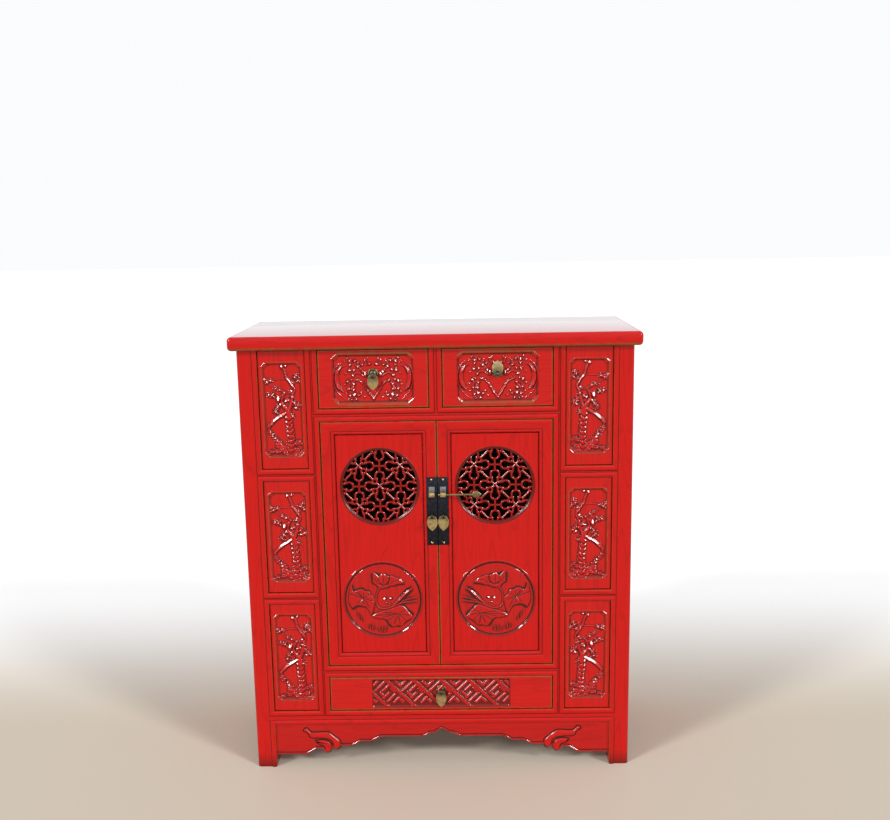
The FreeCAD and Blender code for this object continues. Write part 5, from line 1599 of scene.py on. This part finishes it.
def carve_fret(carving):
    """The fret of the bottom drawer, drawn along its two slants: long bars that fall to the right, and
    between them bars that rise to the right and short bars that join them."""
    fall = (carving.across - carving.up) * math.sqrt(0.5)
    climb = (carving.across + carving.up) * math.sqrt(0.5)

    def bar(fall_from, fall_to, climb_from, climb_to, slope, height):
        inset = np.minimum(
            np.minimum(fall - fall_from, fall_to - fall), np.minimum(climb - climb_from, climb_to - climb)
        )
        rise = carving.chiselled(inset, BAR_STEP + slope * (fall - fall_from), height)
        carving.height = np.maximum(carving.height, rise)

    for number in FRET_BANDS:
        long_at = FRET_LONG_AT + FRET_BAND * number
        cross_at = FRET_CROSS_AT + FRET_BAND * number
        bar(-FRET_REACH, FRET_REACH, long_at - LONG_HALF, long_at + LONG_HALF, STEEP_CUT, LONG_RISE)
        for place, low, high in FRET_CROSS:
            middle = cross_at + place
            ends = (long_at + low, long_at + high)
            bar(middle - CROSS_HALF, middle + CROSS_HALF, *ends, SLANT_CUT, CROSS_RISE)
        for place, low, high in FRET_SHORT:
            middle = long_at + place
            ends = (cross_at + low, cross_at + high)
            bar(*ends, middle - SHORT_HALF, middle + SHORT_HALF, STEEP_CUT, SHORT_RISE)


def drawer_front(box, step, middle_z, field, carve, rim, ground_dirt_and_shade):
    """A front with rounded edges and a sunk field in which the carving stands."""
    left, right, low, high = box
    across, up = board_grid(left, right, low, high, step)
    x = across - (left + right) / 2
    z = up - middle_z
    carving = Carving(x, z, DRAWER_CUTS)
    carve(carving)
    inset = inside_cartouche(x, z, *field)
    relief = sunk_field(inset, FIELD_DEPTH, rim, corner_share(x, z, *field))
    relief += carving.height.reshape(x.shape) * eased((inset - CARVING_FROM) / 2)
    edge = np.minimum(np.minimum(across - left, right - across), np.minimum(up - low, high - up))
    relief -= rounded_off(edge, *DRAWER_EDGE)
    rubbed, dirt_and_shade = aged(relief, step)
    rubbed = np.maximum(rubbed, np.exp(-((edge / WORN_EDGE) ** 4)))
    dirt_and_shade = dirt_and_shade * (edge > CLEAN_EDGE)
    lengthwise = np.abs(z) > field[1] - END_RUN
    rubbed = np.maximum(rubbed, rim * lengthwise * band(inset, *RIM_AT))
    # Dirt and painted shade at the foot of the field's wall, and over the fret's ground and bars.
    dirt_and_shade = np.maximum(dirt_and_shade, (FIELD_DIRT_AND_SHADE - RIM_CLEAN * rim) * band(inset, *FOOT_AT))
    dirt_and_shade = np.maximum(dirt_and_shade, CROWN_DIRT_AND_SHADE * ground_dirt_and_shade * eased((inset - 2) / 2))
    deep = np.maximum(carving.deep.reshape(x.shape), ground_dirt_and_shade)
    dirt_and_shade = np.maximum(dirt_and_shade, deep * eased((inset - 2) / 2) * (carving.height.reshape(x.shape) < FIELD_GROUND))
    return carved_board(across, up, DRAWER_FACE, DRAWER_BACK, relief, rubbed, dirt_and_shade)


def rosette_with_eye(radius, above):
    """A dished brass rosette with a petalled rim, and below it the ring and the stalk of the eye."""
    across, up = disc_grid(*ROSETTE_GRID)
    share = np.hypot(across, up)
    turn = np.arctan2(up, across)
    lobes = np.abs(np.cos(LOBES / 2 * turn))
    reach = radius + LOBE_REACH * lobes
    relief = ROSETTE_RISE + (ROSETTE_RISE + 0.5 * lobes) * band(share, *ROSETTE_RIM)
    boss = BOSS_RISE * np.sqrt(np.clip(1 - (share / BOSS_REACH) ** 2, 0, 1))
    relief = np.where(share > 0.99, 0, np.maximum(relief, boss))
    dirt_and_shade = np.where(share < DARK_MIDDLE, 0.95, 0.6 + 0.3 * (1 - lobes))
    plate = round_board(across * reach, up * reach, relief, dirt_and_shade).moved(Matrix.Translation((0, 0, above)))
    turns = np.linspace(0, 2 * math.pi, RING_SECTION + 1)[:-1]
    section = [(RING_RADIUS + RING_HALF * math.cos(turn), RING_DEEP * math.sin(turn)) for turn in turns]
    ring = turned(section, EYE_SIDES).moved(placed(0, RING_Y, 0, ALONG_X))
    ring.dirt_and_shade += RING_DARK
    stalk = turned(STALK, STALK_SIDES, capped=True).moved(placed(0, STALK_Y, 0, TO_FRONT))
    return plate + ring + stalk


def dress_drawer(name, motif, front, place, above):
    """The carved front of a drawer and the rosette on it."""
    piece = make_piece(f"{name}_{motif}_front", front, (CARVED_LEVEL,))
    fixed(piece, name, "red_lacquer", f"{name}_front")
    rosette = rosette_with_eye(ROSETTE_RADIUS, above).moved(Matrix.Translation(place))
    piece = make_piece(f"{name}_petal_rosette", rosette, (AGED_BRASS,), crease=60)
    fixed(piece, name, "aged_brass", f"{name}_rosette")


upper_field = (FIELD_HALF_WIDTH, FIELD_HALF_HEIGHT, FIELD_CORNER)
for side, sign in SIDES.items():
    box = (*sorted(sign * end for end in UPPER_ENDS), *UPPER_FRONT)
    front = drawer_front(box, GRID_STEP, DRAWER_Z, upper_field, carve_bat, UPPER_RIM, 0.0)
    dress_drawer(f"{side}_drawer", "bat", front, (sign * DRAWER_X, ROSETTE_Y, UPPER_EYE_Z), 3.0)
fret_field = (FRET_HALF_WIDTH, FRET_HALF_HEIGHT, FRET_CORNER)
box = (-BOTTOM_END, BOTTOM_END, *BOTTOM_FRONT)
front = drawer_front(box, FRET_GRID, BOTTOM_Z, fret_field, carve_fret, 0.0, FRET_DIRT_AND_SHADE)
dress_drawer("bottom_drawer", "fret", front, (0, ROSETTE_Y, BOTTOM_EYE_Z), 2.0)

# Leaf drops
# Five cast brass leaves that swing on ring eyes and serve as pulls: one on each door beside the lock and
# one on each drawer. The leaf of the right drawer is thrown up and leans back on the carving.
DROP_HOLE = 4.25
DROP_THICKNESS = 2.5
DROP_HALF_WIDTH = 12.0
DROP_SHOULDER = 9.0
DROP_BORE = 2.6
DROP_SOIL = 0.9
DRILL_REACH = 10
TO_BACK = Matrix.Rotation(-math.pi / 2, 4, "X")
DRAWER_DROP_Y = -174.2
DOOR_DROP = (-175.7, 608, 5.5, 30.5, 8)
LEAN = math.radians(172)


def bored(shape, radius):
    """The shape with a round hole through it from front to back at the origin."""
    blank = make_piece("drop_blank", shape, (AGED_BRASS,))
    drill = turned(((radius, -DRILL_REACH), (radius, DRILL_REACH)), ROD_SIDES, capped=True)
    drill = make_piece("drop_drill", drill.moved(TO_BACK), (AGED_BRASS,))
    for piece in (blank, drill):
        piece.data.transform(Matrix.Scale(1 / MM, 4))
    cutting = blank.modifiers.new("hole", "BOOLEAN")
    cutting.operation = "DIFFERENCE"
    cutting.solver = "EXACT"
    cutting.object = drill
    holed = shape_from(blank)
    bpy.data.objects.remove(drill)
    return holed


hung = {
    "left_door_drop": (-EYE_X, *DOOR_DROP),
    "right_door_drop": (EYE_X, *DOOR_DROP),
    "left_drawer_drop": (-DRAWER_X, DRAWER_DROP_Y, UPPER_EYE_Z, 8.5, 27.5, 16),
    "right_drawer_drop": (DRAWER_X, DRAWER_DROP_Y, UPPER_EYE_Z, 8.5, 25.0, 12),
    "bottom_drawer_drop": (0, DRAWER_DROP_Y, BOTTOM_EYE_Z, 8.5, 33.0, 12),
}
for name, (x, y, z, crown, length, tarnish) in hung.items():
    blade = leaf_blade(DROP_HALF_WIDTH, crown, DROP_SHOULDER, length, DROP_THICKNESS)
    drop = bored(blade, DROP_BORE)
    drop.dirt_and_shade = np.clip(DROP_SOIL + drop.points[:, 2] / tarnish, 0, DROP_SOIL)
    drop = drop.moved(Matrix.Translation((0, 0, -DROP_HOLE)))
    turn = Matrix.Rotation(LEAN if name == "right_drawer_drop" else 0, 4, "X")
    piece = make_piece(f"{name}_leaf", drop.moved(placed(x, y, z, turn)), (AGED_BRASS,), crease=50)
    fixed(piece, name, "aged_brass", name)
finished(TARNISHED_BRASS, "left_door_drop_eye", "right_door_drop_eye")

# Floor, light and camera
# A plain pale floor under a pale sky of even light, four soft lamps in front, two high and two low, and
# a camera at standing height a little right of the middle.
FLOOR_HALF = 30000
FLOOR_NEAR = (0.655, 0.59, 0.485, 1)
FLOOR_FAR = (0.95, 0.95, 0.955, 1)
FLOOR_GLOW = 0.27
FLOOR_FINISH = {"Emission Color": (1, 1, 1, 1), "Roughness": 0.9, "Specular IOR Level": 0}
SKY_COLOUR = (0.97, 0.985, 1.0, 1)
SKY_SEEN = 0.985
SKY_LIGHT = 0.50
MAIN_LAMP = (52, 30, 1.32, 10)
LOW_LAMP = (45, 14, 0.45, 7)
LAMP_DISTANCE = 4
LENS = 40.52
SENSOR = 36
EYE_PLACE = (0.054, -2.328, 1.247)
YAW = math.radians(-0.899)
PITCH_DOWN = math.radians(10.499)
ROLL = math.radians(-0.993)


def seen_share(tree):
    """1 for rays of the camera and for mirror and glass rays, 0 for the light that falls on things."""
    path = tree.nodes.new("ShaderNodeLightPath")
    share = calculated(tree, "MAXIMUM", path.outputs["Is Camera Ray"], path.outputs["Is Glossy Ray"])
    return calculated(tree, "MAXIMUM", share, path.outputs["Is Transmission Ray"])


def floor_board():
    """A floor that is pale wood-coloured in front of the sideboard and fades to white behind it."""
    half = FLOOR_HALF
    corners = [(-half, -half, 0), (half, -half, 0), (half, half, 0), (-half, half, 0)]
    material, tree, shader = new_material("pale_floor", FLOOR_FINISH)
    far = ranged(tree, own_axis(tree, "Y"), {}, "SMOOTHSTEP")
    tree.links.new(mixed_colour(tree, far, FLOOR_NEAR, FLOOR_FAR), shader.inputs["Base Color"])
    glow = calculated(tree, "MULTIPLY", calculated(tree, "MULTIPLY", far, seen_share(tree)), FLOOR_GLOW)
    tree.links.new(glow, shader.inputs["Emission Strength"])
    return make_piece("studio_floor", Shape(corners, [(0, 1, 2, 3)]), (material,), smooth=False)


floor_board()
scene = bpy.context.scene
world = bpy.data.worlds.new("studio")
scene.world = world
world.use_nodes = True
sky = world.node_tree.nodes["Background"]
sky.inputs["Color"].default_value = SKY_COLOUR
limits = {"To Min": SKY_LIGHT, "To Max": SKY_SEEN}
strength = ranged(world.node_tree, seen_share(world.node_tree), limits)
world.node_tree.links.new(strength, sky.inputs["Strength"])


def lamp(name, azimuth, elevation, power, width):
    """A broad far lamp, by its direction as seen from the sideboard, with azimuth 0 straight in front."""
    light = bpy.data.lights.new(name, "SUN")
    light.energy = power
    light.angle = math.radians(width)
    turn = math.radians(azimuth)
    rise = math.radians(elevation)
    toward = Vector((math.sin(turn) * math.cos(rise), -math.cos(turn) * math.cos(rise), math.sin(rise)))
    holder = linked(name, light)
    holder.location = toward * LAMP_DISTANCE
    holder.rotation_euler = (-toward).to_track_quat("-Z", "Y").to_euler()


for side, sign in SIDES.items():
    lamp(f"{side}_main_lamp", sign * MAIN_LAMP[0], *MAIN_LAMP[1:])
    lamp(f"{side}_low_lamp", sign * LOW_LAMP[0], *LOW_LAMP[1:])

camera = bpy.data.cameras.new("camera")
camera.sensor_fit = "HORIZONTAL"
camera.sensor_width = SENSOR
camera.lens = LENS
eye = linked("camera", camera)
flat_ahead = Vector((math.sin(YAW), math.cos(YAW), 0))
ahead = flat_ahead * math.cos(PITCH_DOWN) - Vector((0, 0, math.sin(PITCH_DOWN)))
level_right = Vector((math.cos(YAW), -math.sin(YAW), 0))
level_up = level_right.cross(ahead)
right_axis = level_right * math.cos(ROLL) + level_up * math.sin(ROLL)
up_axis = level_up * math.cos(ROLL) - level_right * math.sin(ROLL)
turn = Matrix((right_axis, up_axis, -ahead)).transposed().to_4x4()
eye.matrix_world = Matrix.Translation(EYE_PLACE) @ turn
scene.camera = eye
scene.view_settings.view_transform = "Standard"
